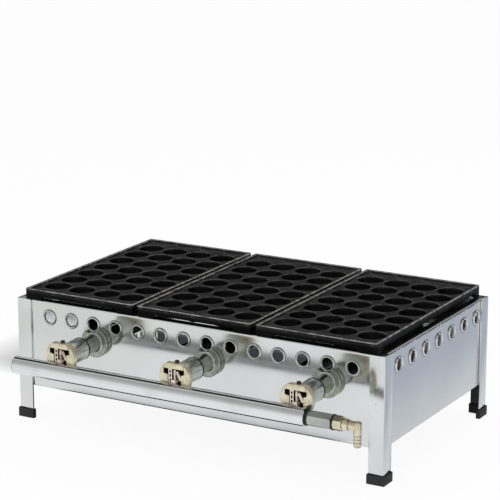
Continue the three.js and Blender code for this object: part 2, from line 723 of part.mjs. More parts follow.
function pipeClearance() {
  const length = HEAD_WIDTH + 2 * OVERRUN;
  const bar = facingRight(turned(disc(PIPE_RADIUS + FIT, -length / 2, length / 2), PIPE_SIDES));
  return bar.translate([0, -PIPE_FORWARD, -PIPE_DROP]);
}

function headDisc() {
  const [bore, outer] = [HEAD_BORE_RADIUS, HEAD_DISC_RADIUS];
  const groove = HEAD_START + (HEAD_DISC_THICKNESS - HEAD_GROOVE_WIDTH) / 2;
  const end = HEAD_START + HEAD_DISC_THICKNESS;
  const profile = [
    [bore, HEAD_START],
    [outer, HEAD_START],
    [outer, groove],
    [outer - HEAD_GROOVE_DEPTH, groove],
    [outer - HEAD_GROOVE_DEPTH, groove + HEAD_GROOVE_WIDTH],
    [outer, groove + HEAD_GROOVE_WIDTH],
    [outer, end],
    [HEAD_NECK_RADIUS, HEAD_BACK],
    [bore, HEAD_BACK + HEAD_WALL / 2],
    [bore, HEAD_START],
  ];
  return facingForward(turned(profile, TUBE_SIDES));
}

// The cage leans on the gas pipe's back: flat top, broken edges, an opening across the front and
// a window at each side.
function headCage() {
  const half = HEAD_WIDTH / 2;
  const outline = polygon([
    [-half, -HEAD_BOTTOM],
    [half, -HEAD_BOTTOM],
    [half, HEAD_TOP - HEAD_CHAMFER],
    [half - HEAD_CHAMFER, HEAD_TOP],
    [-half + HEAD_CHAMFER, HEAD_TOP],
    [-half, HEAD_TOP - HEAD_CHAMFER],
  ]);
  const block = solid(extruded(outline, HEAD_LENGTH)).translate([0, 0, HEAD_BACK]);
  const level = WINDOW_TOP - WINDOW_HEIGHT / 2;
  const depth = HEAD_LENGTH - HEAD_WALL + OVERRUN;
  const insideY = -HEAD_BACK - HEAD_WALL - depth / 2;
  const inside = box(HEAD_WIDTH - 2 * HEAD_WALL, depth, WINDOW_HEIGHT, 0, insideY, level);
  const sideY = -HEAD_BACK - HEAD_WALL - SIDE_WINDOW_LENGTH / 2;
  const sides = box(HEAD_WIDTH + OVERRUN, SIDE_WINDOW_LENGTH, WINDOW_HEIGHT, 0, sideY, level);
  return facingForward(block).subtract(inside).subtract(sides);
}

function nozzleHead() {
  const bore = disc(HEAD_BORE_RADIUS, HEAD_START - OVERRUN, HEAD_BACK + HEAD_WALL);
  const stemHole = disc(NOZZLE_STEM_RADIUS + FIT, -HEAD_BOTTOM - OVERRUN, 0);
  const screwFoot = HEAD_TOP - LOCK_SHANK_LENGTH - FIT;
  const screwHole = disc(LOCK_SHANK_RADIUS + FIT, screwFoot, HEAD_TOP + OVERRUN);
  return headDisc()
    .add(headCage())
    .subtract(facingForward(turned(bore, TUBE_SIDES)))
    .subtract(turned(stemHole, SMALL_SIDES).translate([0, -NOZZLE_FORWARD, 0]))
    .subtract(turned(screwHole, RUN_SIDES).translate([0, -HEAD_BACK - LOCK_SCREW_INSET, 0]))
    .subtract(pipeClearance());
}

function lockScrew() {
  const seat = HEAD_TOP + FIT;
  const profile = [
    [0, HEAD_TOP - LOCK_SHANK_LENGTH],
    [LOCK_SHANK_RADIUS, HEAD_TOP - LOCK_SHANK_LENGTH],
    [LOCK_SHANK_RADIUS, seat],
    [LOCK_SCREW_RADIUS, seat],
    [LOCK_SCREW_RADIUS, seat + LOCK_SCREW_RISE],
    [0, seat + LOCK_SCREW_RISE],
  ];
  const top = seat + LOCK_SCREW_RISE;
  const slotLength = 2 * LOCK_SCREW_RADIUS + OVERRUN;
  const slot = box(slotLength, LOCK_SLOT_WIDTH, 2 * LOCK_SLOT_DEPTH, 0, 0, top);
  return turned(profile, RUN_SIDES).subtract(slot).translate([0, -HEAD_BACK - LOCK_SCREW_INSET, 0]);
}

// A stem up from the gas pipe, a six-sided body on the head's floor and a jet into the tube.
function nozzle() {
  const floor = WINDOW_TOP - WINDOW_HEIGHT + FIT;
  const hexTop = floor + NOZZLE_HEX_HEIGHT;
  const edge = CHAMFER_SHARE * NOZZLE_COLUMN_RADIUS;
  const column = [
    [0, hexTop],
    [NOZZLE_COLUMN_RADIUS, hexTop],
    [NOZZLE_COLUMN_RADIUS, NOZZLE_COLUMN_TOP - edge],
    [NOZZLE_COLUMN_RADIUS - edge, NOZZLE_COLUMN_TOP],
    [0, NOZZLE_COLUMN_TOP],
  ];
  const jet = [
    [0, 0],
    [NOZZLE_JET_RADIUS, 0],
    [NOZZLE_JET_RADIUS, NOZZLE_JET_LENGTH - NOZZLE_TIP_LENGTH],
    [NOZZLE_TIP_RADIUS, NOZZLE_JET_LENGTH],
    [0, NOZZLE_JET_LENGTH],
  ];
  const upright = turned(disc(NOZZLE_STEM_RADIUS, -PIPE_DROP, floor), SMALL_SIDES)
    .add(hexBar(NOZZLE_HEX, floor, hexTop))
    .add(turned(column, SMALL_SIDES));
  const body = upright.add(facingInward(turned(jet, RUN_SIDES)));
  return body.translate([0, -NOZZLE_FORWARD, 0]).subtract(pipeClearance());
}

function burners() {
  const group = new THREE.Group();
  const names = ['left', 'middle', 'right'];
  BURNERS.forEach((x, i) => {
    const side = names[i];
    const unit = new THREE.Group();
    unit.position.set(x + RUN_OFFSET, PANEL_FACE_Y, BURNER_HEIGHT);
    unit.add(piece(`burner_pipe_${side}`, burnerPipe(), burnerIron));
    unit.add(piece(`panel_collar_${side}`, collar(x), zinc));
    unit.add(piece(`mixing_tube_${side}`, mixingTube(), zinc));
    unit.add(piece(`stop_ring_${side}`, stopRing(), darkSteel));
    unit.add(piece(`air_sleeve_${side}`, airSleeve(), zinc));
    unit.add(piece(`nozzle_head_${side}`, nozzleHead(), paleBrass));
    unit.add(piece(`gas_nozzle_${side}`, nozzle(), paleBrass));
    unit.add(piece(`lock_screw_${side}`, lockScrew(), darkSteel));
    group.add(unit);
  });
  return group;
}

// ---------------------------------------------------------------- gas pipe and hose fitting

function gasPipe() {
  const profile = ring(PIPE_RADIUS - PIPE_WALL, PIPE_RADIUS, -PIPE_LEFT, PIPE_RIGHT);
  return facingRight(turned(profile, PIPE_SIDES));
}

function pipeCap() {
  const plug = PIPE_RADIUS - PIPE_WALL - FIT;
  const edge = CHAMFER_SHARE * PIPE_RADIUS;
  const profile = [
    [0, -CAP_PLUG_LENGTH],
    [plug, -CAP_PLUG_LENGTH],
    [plug, FIT],
    [PIPE_RADIUS, FIT],
    [PIPE_RADIUS, CAP_LENGTH / 2],
    [PIPE_RADIUS - edge, CAP_LENGTH],
    [0, CAP_LENGTH],
  ];
  return facingRight(turned(profile, PIPE_SIDES)).mirror([1, 0, 0]).translate([-PIPE_LEFT, 0, 0]);
}

// The hose tail points down: a collar, an arm, an upright body with a broken edge and barbs.
function hoseElbow(start, spigotStart) {
  const collarEnd = start + ELBOW_COLLAR_LENGTH;
  const reach = collarEnd + ELBOW_ARM;
  const arm = [
    [0, spigotStart],
    [ELBOW_TUBE_RADIUS, spigotStart],
    [ELBOW_TUBE_RADIUS, start],
    [ELBOW_COLLAR_RADIUS, start],
    [ELBOW_COLLAR_RADIUS, collarEnd],
    [ELBOW_TUBE_RADIUS, collarEnd],
    [ELBOW_TUBE_RADIUS, reach],
    [0, reach],
  ];
  const armBore = disc(TAIL_BORE_RADIUS, spigotStart - OVERRUN, reach);
  const tailBore = disc(TAIL_BORE_RADIUS, -TAIL_DROP - OVERRUN, 0);
  return facingRight(turned(arm, SMALL_SIDES))
    .add(turned(tailProfile(), TUBE_SIDES).translate([reach, 0, 0]))
    .subtract(facingRight(turned(armBore, RUN_SIDES)))
    .subtract(turned(tailBore, RUN_SIDES).translate([reach, 0, 0]));
}

function tailProfile() {
  const edge = CHAMFER_SHARE * ELBOW_TUBE_RADIUS;
  const barbTop = -TAIL_DROP + TAIL_BARB_COUNT * TAIL_BARB_PITCH;
  const points = [
    [0, ELBOW_TUBE_RADIUS],
    [ELBOW_TUBE_RADIUS - edge, ELBOW_TUBE_RADIUS],
    [ELBOW_TUBE_RADIUS, ELBOW_TUBE_RADIUS - edge],
    [ELBOW_TUBE_RADIUS, barbTop + TAIL_NECK_LENGTH],
    [TAIL_RADIUS, barbTop + TAIL_NECK_LENGTH],
  ];
  for (let i = 0; i < TAIL_BARB_COUNT; i += 1) {
    const top = barbTop - i * TAIL_BARB_PITCH;
    const foot = top - BARB_SHARE * TAIL_BARB_PITCH;
    points.push([TAIL_RADIUS, top], [TAIL_BARB_RADIUS, top], [TAIL_RADIUS, foot]);
  }
  points.push([TAIL_RADIUS, -TAIL_DROP], [0, -TAIL_DROP]);
  return points;
}

function gasLine() {
  const group = new THREE.Group();
  group.position.set(0, PIPE_Y, PIPE_HEIGHT);
  const ringStart = PIPE_RIGHT + FIT;
  const socketStart = ringStart + END_RING_LENGTH + FIT;
  const socketEnd = socketStart + SOCKET_HEX_LENGTH;
  const gasketStart = socketEnd + FIT;
  const unionStart = gasketStart + GASKET_LENGTH + FIT;
  const elbowStart = unionStart + UNION_HEX_LENGTH + FIT;
  const endRing = ring(SOCKET_BORE_RADIUS, END_RING_RADIUS, ringStart, ringStart + END_RING_LENGTH);
  const gasket = ring(SOCKET_BORE_RADIUS, GASKET_RADIUS, gasketStart, gasketStart + GASKET_LENGTH);
  const socket = hexBar(SOCKET_HEX, socketStart, socketEnd, SOCKET_BORE_RADIUS);
  const unionBore = clearBore(ELBOW_TUBE_RADIUS, SMALL_SIDES);
  const union = hexBar(UNION_HEX, unionStart, unionStart + UNION_HEX_LENGTH, unionBore);
  group.add(piece('gas_pipe', gasPipe(), chrome));
  group.add(piece('gas_pipe_cap', pipeCap(), chrome));
  group.add(piece('pipe_end_ring', facingRight(turned(endRing, PIPE_SIDES)), darkSteel));
  group.add(piece('inlet_socket', facingRight(socket), zinc));
  group.add(piece('inlet_gasket', facingRight(turned(gasket, TUBE_SIDES)), blackRubber));
  group.add(piece('union_nut', facingRight(union), paleBrass));
  group.add(piece('hose_elbow', hoseElbow(elbowStart, unionStart + FIT), paleBrass));
  return group;
}

// ---------------------------------------------------------------- the whole cooker

const cooker = new THREE.Group();
cooker.add(frameCorners());
cooker.add(boxFrame());
cooker.add(pans());
cooker.add(burners());
cooker.add(gasLine());

export default cooker;
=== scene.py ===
"""Dressing of a three-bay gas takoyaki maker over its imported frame.

Each sub-assembly is a class that holds its sizes in millimetres, builds its meshes with bmesh
operators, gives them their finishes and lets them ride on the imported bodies.
"""

from __future__ import annotations

import logging
import math
from collections.abc import Callable, Sequence
from dataclasses import dataclass, replace
from enum import Enum

import bmesh
import bpy
from mathutils import Matrix, Vector

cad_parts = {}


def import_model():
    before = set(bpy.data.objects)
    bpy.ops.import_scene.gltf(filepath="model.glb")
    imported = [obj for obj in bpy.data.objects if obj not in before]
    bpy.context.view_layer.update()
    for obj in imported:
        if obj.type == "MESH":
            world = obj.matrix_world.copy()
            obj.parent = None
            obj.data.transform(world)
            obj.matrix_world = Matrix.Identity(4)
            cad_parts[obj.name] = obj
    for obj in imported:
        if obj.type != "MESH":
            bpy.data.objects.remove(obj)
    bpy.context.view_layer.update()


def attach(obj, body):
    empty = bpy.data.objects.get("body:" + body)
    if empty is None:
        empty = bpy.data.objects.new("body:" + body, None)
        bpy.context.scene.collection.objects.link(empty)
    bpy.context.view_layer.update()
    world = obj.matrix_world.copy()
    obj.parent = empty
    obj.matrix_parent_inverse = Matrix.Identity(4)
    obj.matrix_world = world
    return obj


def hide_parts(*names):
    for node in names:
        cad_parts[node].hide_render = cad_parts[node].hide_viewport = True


LOG = logging.getLogger("takoyaki_maker")
MM = 0.001
UPRIGHT = 5.0
ROOT_BODY = "cooker_frame"
BAYS = ("left", "middle", "right")
QUARTER_TURN = tuple(i * math.pi / 8 for i in range(5))

Profile = Sequence[tuple[float, float]]
Colour = tuple[float, float, float]


# Shader maths


class Field:
    """A number that changes over a surface, held as one output socket and used in expressions."""

    def __init__(self, palette: Palette, socket: bpy.types.NodeSocket) -> None:
        """Keeps the palette that the socket's node belongs to."""
        self.palette = palette
        self.socket = socket

    def _joined(self, operation: str, first: Operand, second: Operand) -> Field:
        """Adds one Math node.

        Args:
            operation: The Math node's operation.
            first: Its first value.
            second: Its second value.

        Returns:
            The node's result.
        """
        node = self.palette.node("ShaderNodeMath", {"operation": operation}, {0: first, 1: second})
        return Field(self.palette, node.outputs[0])

    def __add__(self, other: Operand) -> Field:
        """self + other."""
        return self._joined("ADD", self, other)

    def __radd__(self, other: Operand) -> Field:
        """other + self."""
        return self._joined("ADD", other, self)

    def __sub__(self, other: Operand) -> Field:
        """self - other."""
        return self._joined("SUBTRACT", self, other)

    def __rsub__(self, other: Operand) -> Field:
        """other - self."""
        return self._joined("SUBTRACT", other, self)

    def __mul__(self, other: Operand) -> Field:
        """self * other."""
        return self._joined("MULTIPLY", self, other)

    def __rmul__(self, other: Operand) -> Field:
        """other * self."""
        return self._joined("MULTIPLY", other, self)

    def __truediv__(self, other: Operand) -> Field:
        """self / other."""
        return self._joined("DIVIDE", self, other)

    def __pow__(self, other: Operand) -> Field:
        """self to the power of other."""
        return self._joined("POWER", self, other)

    def at_least(self, other: Operand) -> Field:
        """The larger of the two."""
        return self._joined("MAXIMUM", self, other)

    def at_most(self, other: Operand) -> Field:
        """The smaller of the two."""
        return self._joined("MINIMUM", self, other)

    def within(self) -> Field:
        """The same number, kept from 0 to 1."""
        return self.at_least(0.0).at_most(1.0)

    def between(self, low: float, high: float) -> Field:
        """A mask that rises from 0 at low to 1 at high."""
        return ((self - low) / (high - low)).within()


Operand = Field | float | bpy.types.NodeSocket


class Palette:
    """The node tree of one material or of the world."""

    def __init__(self, tree: bpy.types.NodeTree) -> None:
        """Empties the tree."""
        self.tree = tree
        tree.nodes.clear()

    def node(self, kind: str, settings: dict | None = None, inputs: dict | None = None) -> bpy.types.Node:
        """Adds a node.

        Args:
            kind: The node's type.
            settings: Attributes, such as a Math node's operation, set first.
            inputs: Values or links by socket name or number.

        Returns:
            The node.
        """
        node = self.tree.nodes.new(kind)
        for name, value in (settings or {}).items():
            setattr(node, name, value)
        for key, value in (inputs or {}).items():
            self.feed(node.inputs[key], value)
        return node

    def feed(self, target: bpy.types.NodeSocket, value: object) -> None:
        """Links a socket or sets its value.

        Args:
            target: The socket that is fed.
            value: A field or a socket to link, or a plain value.
        """
        if isinstance(value, Field):
            value = value.socket
        if isinstance(value, bpy.types.NodeSocket):
            self.tree.links.new(value, target)
        elif isinstance(value, tuple) and len(value) == 3 and target.type == "RGBA":
            target.default_value = (*value, 1.0)
        else:
            target.default_value = value

    def position(self) -> bpy.types.NodeSocket:
        """The surface point in the part's own frame, in metres."""
        return self.node("ShaderNodeTexCoord").outputs["Object"]

    def axes(self) -> tuple[Field, Field, Field]:
        """The surface point's three coordinates."""
        parts = self.node("ShaderNodeSeparateXYZ", inputs={0: self.position()}).outputs
        return Field(self, parts[0]), Field(self, parts[1]), Field(self, parts[2])

    def noise(self, scale: float, detail: float = 2.0, stretch: Colour = (1.0, 1.0, 1.0)) -> Field:
        """A soft random field.

        Args:
            scale: Waves per metre.
            detail: How many finer layers are added.
            stretch: Factors on the three axes before the noise is read.

        Returns:
            The field, about 0.5 on average.
        """
        spot = self.node("ShaderNodeVectorMath", {"operation": "MULTIPLY"}, {0: self.position(), 1: stretch})
        settings = {"noise_dimensions": "3D"}
        texture = self.node(
            "ShaderNodeTexNoise", settings, {"Vector": spot.outputs[0], "Scale": scale, "Detail": detail}
        )
        return Field(self, texture.outputs[0])

    def cells(self, scale: float) -> Field:
        """Distance to the nearest of many scattered points."""
        texture = self.node("ShaderNodeTexVoronoi", {}, {"Vector": self.position(), "Scale": scale})
        return Field(self, texture.outputs["Distance"])

    def share(self, turns: Field) -> Field:
        """How far a count of turns is from the middle of its turn, from -0.5 to 0.5."""
        return Field(self, self.node("ShaderNodeMath", {"operation": "FRACT"}, {0: turns}).outputs[0]) - 0.5

    def edges(self) -> Field:
        """How sharply the surface turns outwards, about 0.5 on the flat."""
        return Field(self, self.node("ShaderNodeNewGeometry").outputs["Pointiness"])

    def mixed(self, factor: Operand, first: object, second: object) -> bpy.types.NodeSocket:
        """A colour between two colours.

        Args:
            factor: 0 gives the first and 1 the second.
            first: A colour or a colour socket.
            second: A colour or a colour socket.

        Returns:
            The colour's socket.
        """
        settings = {"data_type": "RGBA", "clamp_factor": True}
        return self.node("ShaderNodeMix", settings, {0: factor, 6: first, 7: second}).outputs[2]

    def bumped(self, height: Field, distance: float, strength: float = 1.0) -> bpy.types.NodeSocket:
        """A normal tilted by a height field.

        Args:
            height: The field, from 0 to 1.
            distance: What its full range stands for, in metres.
            strength: How much of the tilt is kept.

        Returns:
            The normal's socket.
        """
        inputs = {"Height": height, "Distance": distance, "Strength": strength}
        return self.node("ShaderNodeBump", {}, inputs).outputs[0]


# Finishes, with sizes in metres


@dataclass(frozen=True)
class Finish:
    """A surface finish; each kind paints its own nodes."""

    name: str
    colour: Colour
    roughness: float
    metallic: float = 1.0
    slot: str = "stainless"

    def material(self) -> bpy.types.Material:
        """The finish's material, made once.

        Returns:
            The material, under the finish's name.
        """
        known = bpy.data.materials.get(self.name)
        if known is not None:
            return known
        made = bpy.data.materials.new(self.name)
        made.use_nodes = True
        palette = Palette(made.node_tree)
        shader = palette.node("ShaderNodeBsdfPrincipled")
        shader.inputs["Base Color"].default_value = (*self.colour, 1.0)
        shader.inputs["Roughness"].default_value = self.roughness
        shader.inputs["Metallic"].default_value = self.metallic
        self.paint(palette, shader)
        palette.node("ShaderNodeOutputMaterial", {}, {"Surface": shader.outputs[0]})
        return made

    def paint(self, palette: Palette, shader: bpy.types.Node) -> None:
        """Feeds the shader what changes over the surface.

        Args:
            palette: The material's nodes.
            shader: Its Principled node.
        """
        raise NotImplementedError


@dataclass(frozen=True)
class RolledSheet(Finish):
    """Bright rolled stainless sheet: faint streaks along the roll, soft smears and fine dust."""

    streak: Colour = (3.0, 3.0, 260.0)
    tint: Colour = (0.60, 0.62, 0.62)

    def paint(self, palette: Palette, shader: bpy.types.Node) -> None:
        """Streaks, smears and a slight waviness of the sheet.

        Args:
            palette: The material's nodes.
            shader: Its Principled node.
        """
        streaks = palette.noise(9.0, 3.0, self.streak)
        smears = palette.noise(7.0, 4.0)
        specks = palette.cells(900.0).between(0.10, 0.02) * palette.noise(60.0).between(0.55, 0.75)
        tone_shift = (streaks.between(0.35, 0.65) * 0.35 + smears.between(0.35, 0.7) * 0.65).within()
        colour = palette.mixed(tone_shift * 0.55 + specks * 0.4, self.colour, self.tint)
        palette.feed(shader.inputs["Base Color"], colour)
        rough = self.roughness + smears.between(0.4, 0.75) * 0.07 + streaks * 0.03 + specks * 0.2
        palette.feed(shader.inputs["Roughness"], rough)
        height = palette.noise(5.0, 1.0) * 0.8 + streaks * 0.012
        palette.feed(shader.inputs["Normal"], palette.bumped(height, 0.0012, 0.5))


@dataclass(frozen=True)
class PunchedSheet(RolledSheet):
    """Rolled sheet with a row of pressed holes: each rim paled as a painted highlight, with a dark ring of
    painted shade round its foot.
    """

    across: int = 0
    first: float = -0.2609
    pitch: float = 0.0406
    level: float = 0.170
    rim: float = 0.0125
    count: int = 14

    def paint(self, palette: Palette, shader: bpy.types.Node) -> None:
        """The sheet's own look, then the rims' painted highlight and painted shade.

        Args:
            palette: The material's nodes.
            shader: Its Principled node.
        """
        super().paint(palette, shader)
        axes = palette.axes()
        turns = (axes[self.across] - self.first) / self.pitch + 0.5
        along = palette.share(turns) * self.pitch
        above = axes[2] - self.level
        away = (along * along + above * above) ** 0.5
        # Painted shade: a dark ring round each rim's foot.
        foot = away.between(self.rim - 0.0009, self.rim - 0.0004)
        row = turns.between(-0.05, 0.05) * (1.0 - turns.between(self.count - 0.05, self.count + 0.05))
        foot = foot * (1.0 - away.between(self.rim + 0.0001, self.rim + 0.0008)) * row
        # Painted highlight: the rim's crest and the hole's wall are paled towards white.
        bead = (1.0 - away.between(self.rim - 0.0014, self.rim - 0.0010)) * row
        sheet = shader.inputs["Base Color"].links[0].from_socket
        rough = Field(palette, shader.inputs["Roughness"].links[0].from_socket)
        pale = palette.mixed(bead * 0.75, sheet, (0.93, 0.93, 0.92))
        palette.feed(shader.inputs["Base Color"], palette.mixed(foot * 0.8, pale, (0.12, 0.12, 0.12)))
        palette.feed(shader.inputs["Roughness"], rough + bead * 0.22 + foot * 0.2)


@dataclass(frozen=True)
class SeasonedIron(Finish):
    """Sand-cast iron under baked oil: a fine grain, dull patches, painted shade deep in the cups and painted
    highlights on the rim edges and cup lips.
    """

    # Colour of the painted highlights on the rim edges and cup lips.
    tone_shift: Colour = (0.52, 0.51, 0.49)
    # Colour of the painted shade at the bottom of the cups.
    pit: Colour = (0.0012, 0.0012, 0.0013)
    mouth: float = 0.2085
    centre: float = 0.0
    pitch: float = 0.046
    cup: float = 0.0214
    half_width: float = 0.099
    half_depth: float = 0.184
    rim_wall: float = 0.004
    grain: float = 1500.0
    oil: float = 0.06

    def paint(self, palette: Palette, shader: bpy.types.Node) -> None:
        """Grain, patches of oil, painted shade in the cups and painted highlights on the edges.

        Args:
            palette: The material's nodes.
            shader: Its Principled node.
        """
        grain = palette.noise(self.grain, 3.0)
        lumps = palette.noise(170.0, 2.0)
        patches = palette.noise(24.0, 4.0).between(0.38, 0.66)
        x, y, height = palette.axes()
        x = x - self.centre
        raised = height.between(self.mouth + 0.0022, self.mouth + 0.003)
        sides = (x.at_least(x * -1.0) - self.half_width).at_least(y.at_least(y * -1.0) - self.half_depth)
        # Painted highlights: thin lines along the rim's edges and arcs round the cup lips.
        lines = sides.between(-0.0013, -0.0010) + (
            sides.between(-self.rim_wall - 0.0006, -self.rim_wall - 0.0002)
            * (1.0 - sides.between(0.0006 - self.rim_wall, 0.0010 - self.rim_wall))
        )
        along, across = palette.share(x / self.pitch), palette.share(y / self.pitch + 0.5)
        away = (along * along + across * across) ** 0.5 * self.pitch
        lips = away.between(self.cup - 0.0010, self.cup - 0.0004)
        lips = lips * (1.0 - away.between(self.cup + 0.0003, self.cup + 0.0009)) * (1.0 - raised)
        lips = lips * height.between(self.mouth - 0.0015, self.mouth - 0.0005)
        # A noise breaks the painted highlights up.
        highlight_breakup = palette.noise(90.0, 3.0).between(0.25, 0.6)
        lightened = (lines * raised * 0.75 + lips * 0.16) * highlight_breakup
        brown = palette.mixed(patches * 0.6, self.colour, tuple(c * 1.8 for c in self.colour))
        # Painted shade: the cups darken with depth to near black.
        shaded_cups = palette.mixed(height.between(self.mouth, self.mouth - 0.004), brown, self.pit)
        colour = palette.mixed(lightened, shaded_cups, self.tone_shift)
        palette.feed(shader.inputs["Base Color"], colour)
        rough = self.roughness - patches * 0.09 + grain.between(0.4, 0.7) * 0.12 - lightened * 0.08
        palette.feed(shader.inputs["Roughness"], rough)
        palette.feed(shader.inputs["Coat Weight"], patches * self.oil)
        skin = grain * 0.35 + lumps * 0.65
        palette.feed(shader.inputs["Normal"], palette.bumped(skin, 0.00035, 0.8))
        shader.inputs["Specular IOR Level"].default_value = 0.06
        shader.inputs["Coat Roughness"].default_value = 0.2


@dataclass(frozen=True)
class TurnedMetal(Finish):
    """A part turned on a lathe: fine rings along its axis, a clouded film and bright edges."""

    shade: Colour = (0.32, 0.36, 0.33)
    rings: Colour = (1.0, 220.0, 1.0)
    cloud: float = 45.0
    ring_depth: float = 0.00004

    def paint(self, palette: Palette, shader: bpy.types.Node) -> None:
        """Tool rings, clouds and bright edges.

        Args:
            palette: The material's nodes.
            shader: Its Principled node.
        """
        rings = palette.noise(11.0, 2.0, self.rings)
        clouds = palette.noise(self.cloud, 4.0).between(0.35, 0.68)
        bright = palette.edges().between(0.52, 0.60)
        filmed = palette.mixed(clouds * 0.7 + rings.between(0.4, 0.6) * 0.2, self.colour, self.shade)
        colour = palette.mixed(bright * 0.5, filmed, tuple(min(1.0, c * 1.25) for c in self.colour))
        palette.feed(shader.inputs["Base Color"], colour)
        palette.feed(shader.inputs["Roughness"], self.roughness + clouds * 0.1 + rings * 0.06 - bright * 0.06)
        palette.feed(shader.inputs["Normal"], palette.bumped(rings, self.ring_depth, 0.6))


@dataclass(frozen=True)
class CastBrass(Finish):
    """Pale sand-cast brass with file marks, dark in its corners."""

    shade: Colour = (0.30, 0.25, 0.15)

    def paint(self, palette: Palette, shader: bpy.types.Node) -> None:
        """Casting skin, tarnish in the corners and rubbed edges.

        Args:
            palette: The material's nodes.
            shader: Its Principled node.
        """
        skin = palette.noise(900.0, 3.0)
        blotches = palette.noise(120.0, 4.0).between(0.38, 0.66)
        corner = palette.edges()
        lightened = corner.between(0.52, 0.58)
        grime = 1.0 - corner.between(0.44, 0.49)
        stained = palette.mixed(blotches * 0.45 + grime * 0.5, self.colour, self.shade)
        colour = palette.mixed(lightened * 0.6, stained, (0.86, 0.80, 0.62))
        palette.feed(shader.inputs["Base Color"], colour)
        palette.feed(shader.inputs["Roughness"], self.roughness + blotches * 0.14 + skin * 0.08)
        palette.feed(shader.inputs["Normal"], palette.bumped(skin, 0.00012, 0.7))


@dataclass(frozen=True)
class PolishedTube(Finish):
    """A polished tube with fine lengthwise draw lines and a few finger marks."""

    lines: Colour = (1.0, 260.0, 260.0)

    def paint(self, palette: Palette, shader: bpy.types.Node) -> None:
        """Draw lines and finger marks.

        Args:
            palette: The material's nodes.
            shader: Its Principled node.
        """
        lines = palette.noise(5.0, 2.0, self.lines)
        marks = palette.noise(26.0, 5.0).between(0.52, 0.72)
        colour = palette.mixed(marks * 0.3 + lines * 0.1, self.colour, (0.55, 0.56, 0.56))
        palette.feed(shader.inputs["Base Color"], colour)
        palette.feed(shader.inputs["Roughness"], self.roughness + marks * 0.1 + lines * 0.03)
        palette.feed(shader.inputs["Normal"], palette.bumped(lines, 0.00002, 0.5))


@dataclass(frozen=True)
class MouldedRubber(Finish):
    """Black moulded rubber with a dusty, slightly pebbled skin."""

    dust: Colour = (0.085, 0.085, 0.08)

    def paint(self, palette: Palette, shader: bpy.types.Node) -> None:
        """Pebbled skin, dust and scuffed edges.

        Args:
            palette: The material's nodes.
            shader: Its Principled node.
        """
        pebbles = palette.cells(1400.0)
        dust = palette.noise(70.0, 5.0).between(0.45, 0.75)
        scuffs = palette.edges().between(0.53, 0.6) * palette.noise(300.0).between(0.4, 0.6)
        colour = palette.mixed(dust * 0.45 + scuffs * 0.6, self.colour, self.dust)
        palette.feed(shader.inputs["Base Color"], colour)
        palette.feed(shader.inputs["Roughness"], self.roughness + dust * 0.18)
        palette.feed(shader.inputs["Normal"], palette.bumped(pebbles, 0.00015, 0.5))


@dataclass(frozen=True)
class HeatTintedIron(Finish):
    """Burner iron scaled by flame: brown and grey patches over a rough skin."""

    scale: Colour = (0.16, 0.11, 0.075)

    def paint(self, palette: Palette, shader: bpy.types.Node) -> None:
        """Flaking scale and heat tint.

        Args:
            palette: The material's nodes.
            shader: Its Principled node.
        """
        flakes = palette.noise(260.0, 5.0).between(0.42, 0.62)
        tint = palette.noise(18.0, 3.0).between(0.35, 0.7)
        colour = palette.mixed(flakes * 0.5 + tint * 0.4, self.colour, self.scale)
        palette.feed(shader.inputs["Base Color"], colour)
        palette.feed(shader.inputs["Roughness"], self.roughness + flakes * 0.2)
        palette.feed(shader.inputs["Metallic"], 0.85 - flakes * 0.5)
        palette.feed(shader.inputs["Normal"], palette.bumped(flakes + tint, 0.0003, 0.7))


SHEET = RolledSheet("rolled_sheet", (0.76, 0.77, 0.775), 0.10)
FRONT_SHEET = PunchedSheet("punched_front_sheet", (0.76, 0.77, 0.765), 0.11)
RIGHT_SHEET = PunchedSheet(
    "punched_right_sheet", (0.76, 0.77, 0.78), 0.13, across=1, first=-0.1339, pitch=0.0463, count=7
)
LEFT_SHEET = replace(RIGHT_SHEET, name="punched_left_sheet")
LEG_SHEET = RolledSheet("folded_leg_steel", (0.78, 0.785, 0.785), 0.15, streak=(200.0, 200.0, 4.0))
INNER_STEEL = RolledSheet("inner_steel", (0.50, 0.49, 0.47), 0.32, tint=(0.30, 0.27, 0.23))
PAN_IRON = SeasonedIron("pan_iron", (0.0125, 0.0123, 0.0128), 0.40, 0.0, "cast_iron")
BURNER_IRON = HeatTintedIron("burner_iron", (0.16, 0.15, 0.14), 0.42, 0.85, "burner_iron")
ZINC = TurnedMetal("bright_zinc", (0.58, 0.62, 0.58), 0.20, slot="zinc", shade=(0.26, 0.30, 0.26))
COLLAR_ZINC = TurnedMetal(
    "stained_zinc", (0.47, 0.50, 0.43), 0.27, slot="zinc", shade=(0.17, 0.19, 0.14), cloud=110.0
)
SOCKET_ZINC = TurnedMetal("socket_zinc", (0.53, 0.56, 0.53), 0.42, slot="zinc", rings=(220.0, 1.0, 1.0))
BRASS = CastBrass("pale_cast_brass", (0.74, 0.67, 0.49), 0.22, slot="pale_brass")
POST_BRASS = TurnedMetal(
    "rosy_brass",
    (0.80, 0.70, 0.62),
    0.20,
    slot="pale_brass",
    shade=(0.34, 0.27, 0.20),
    rings=(60.0, 60.0, 200.0),
)
# A near-black skin that paints shade into the nozzle heads' pockets.
POCKET_SHADE = MouldedRubber("pocket_shade", (0.006, 0.006, 0.006), 0.8, 0.0, "dark_steel", (0.012, 0.011, 0.01))
FITTING_BRASS = TurnedMetal(
    "pale_turned_brass",
    (0.78, 0.72, 0.55),
    0.17,
    slot="pale_brass",
    shade=(0.46, 0.39, 0.25),
    rings=(160.0, 1.0, 160.0),
)
CHROME = PolishedTube("polished_tube", (0.80, 0.81, 0.815), 0.07, slot="chrome")
RUBBER = MouldedRubber("black_rubber", (0.022, 0.022, 0.021), 0.52, 0.0, "black_rubber")
BLACK_STEEL = TurnedMetal(
    "blackened_steel", (0.035, 0.033, 0.031), 0.34, 0.6, "dark_steel", shade=(0.06, 0.05, 0.045)
)


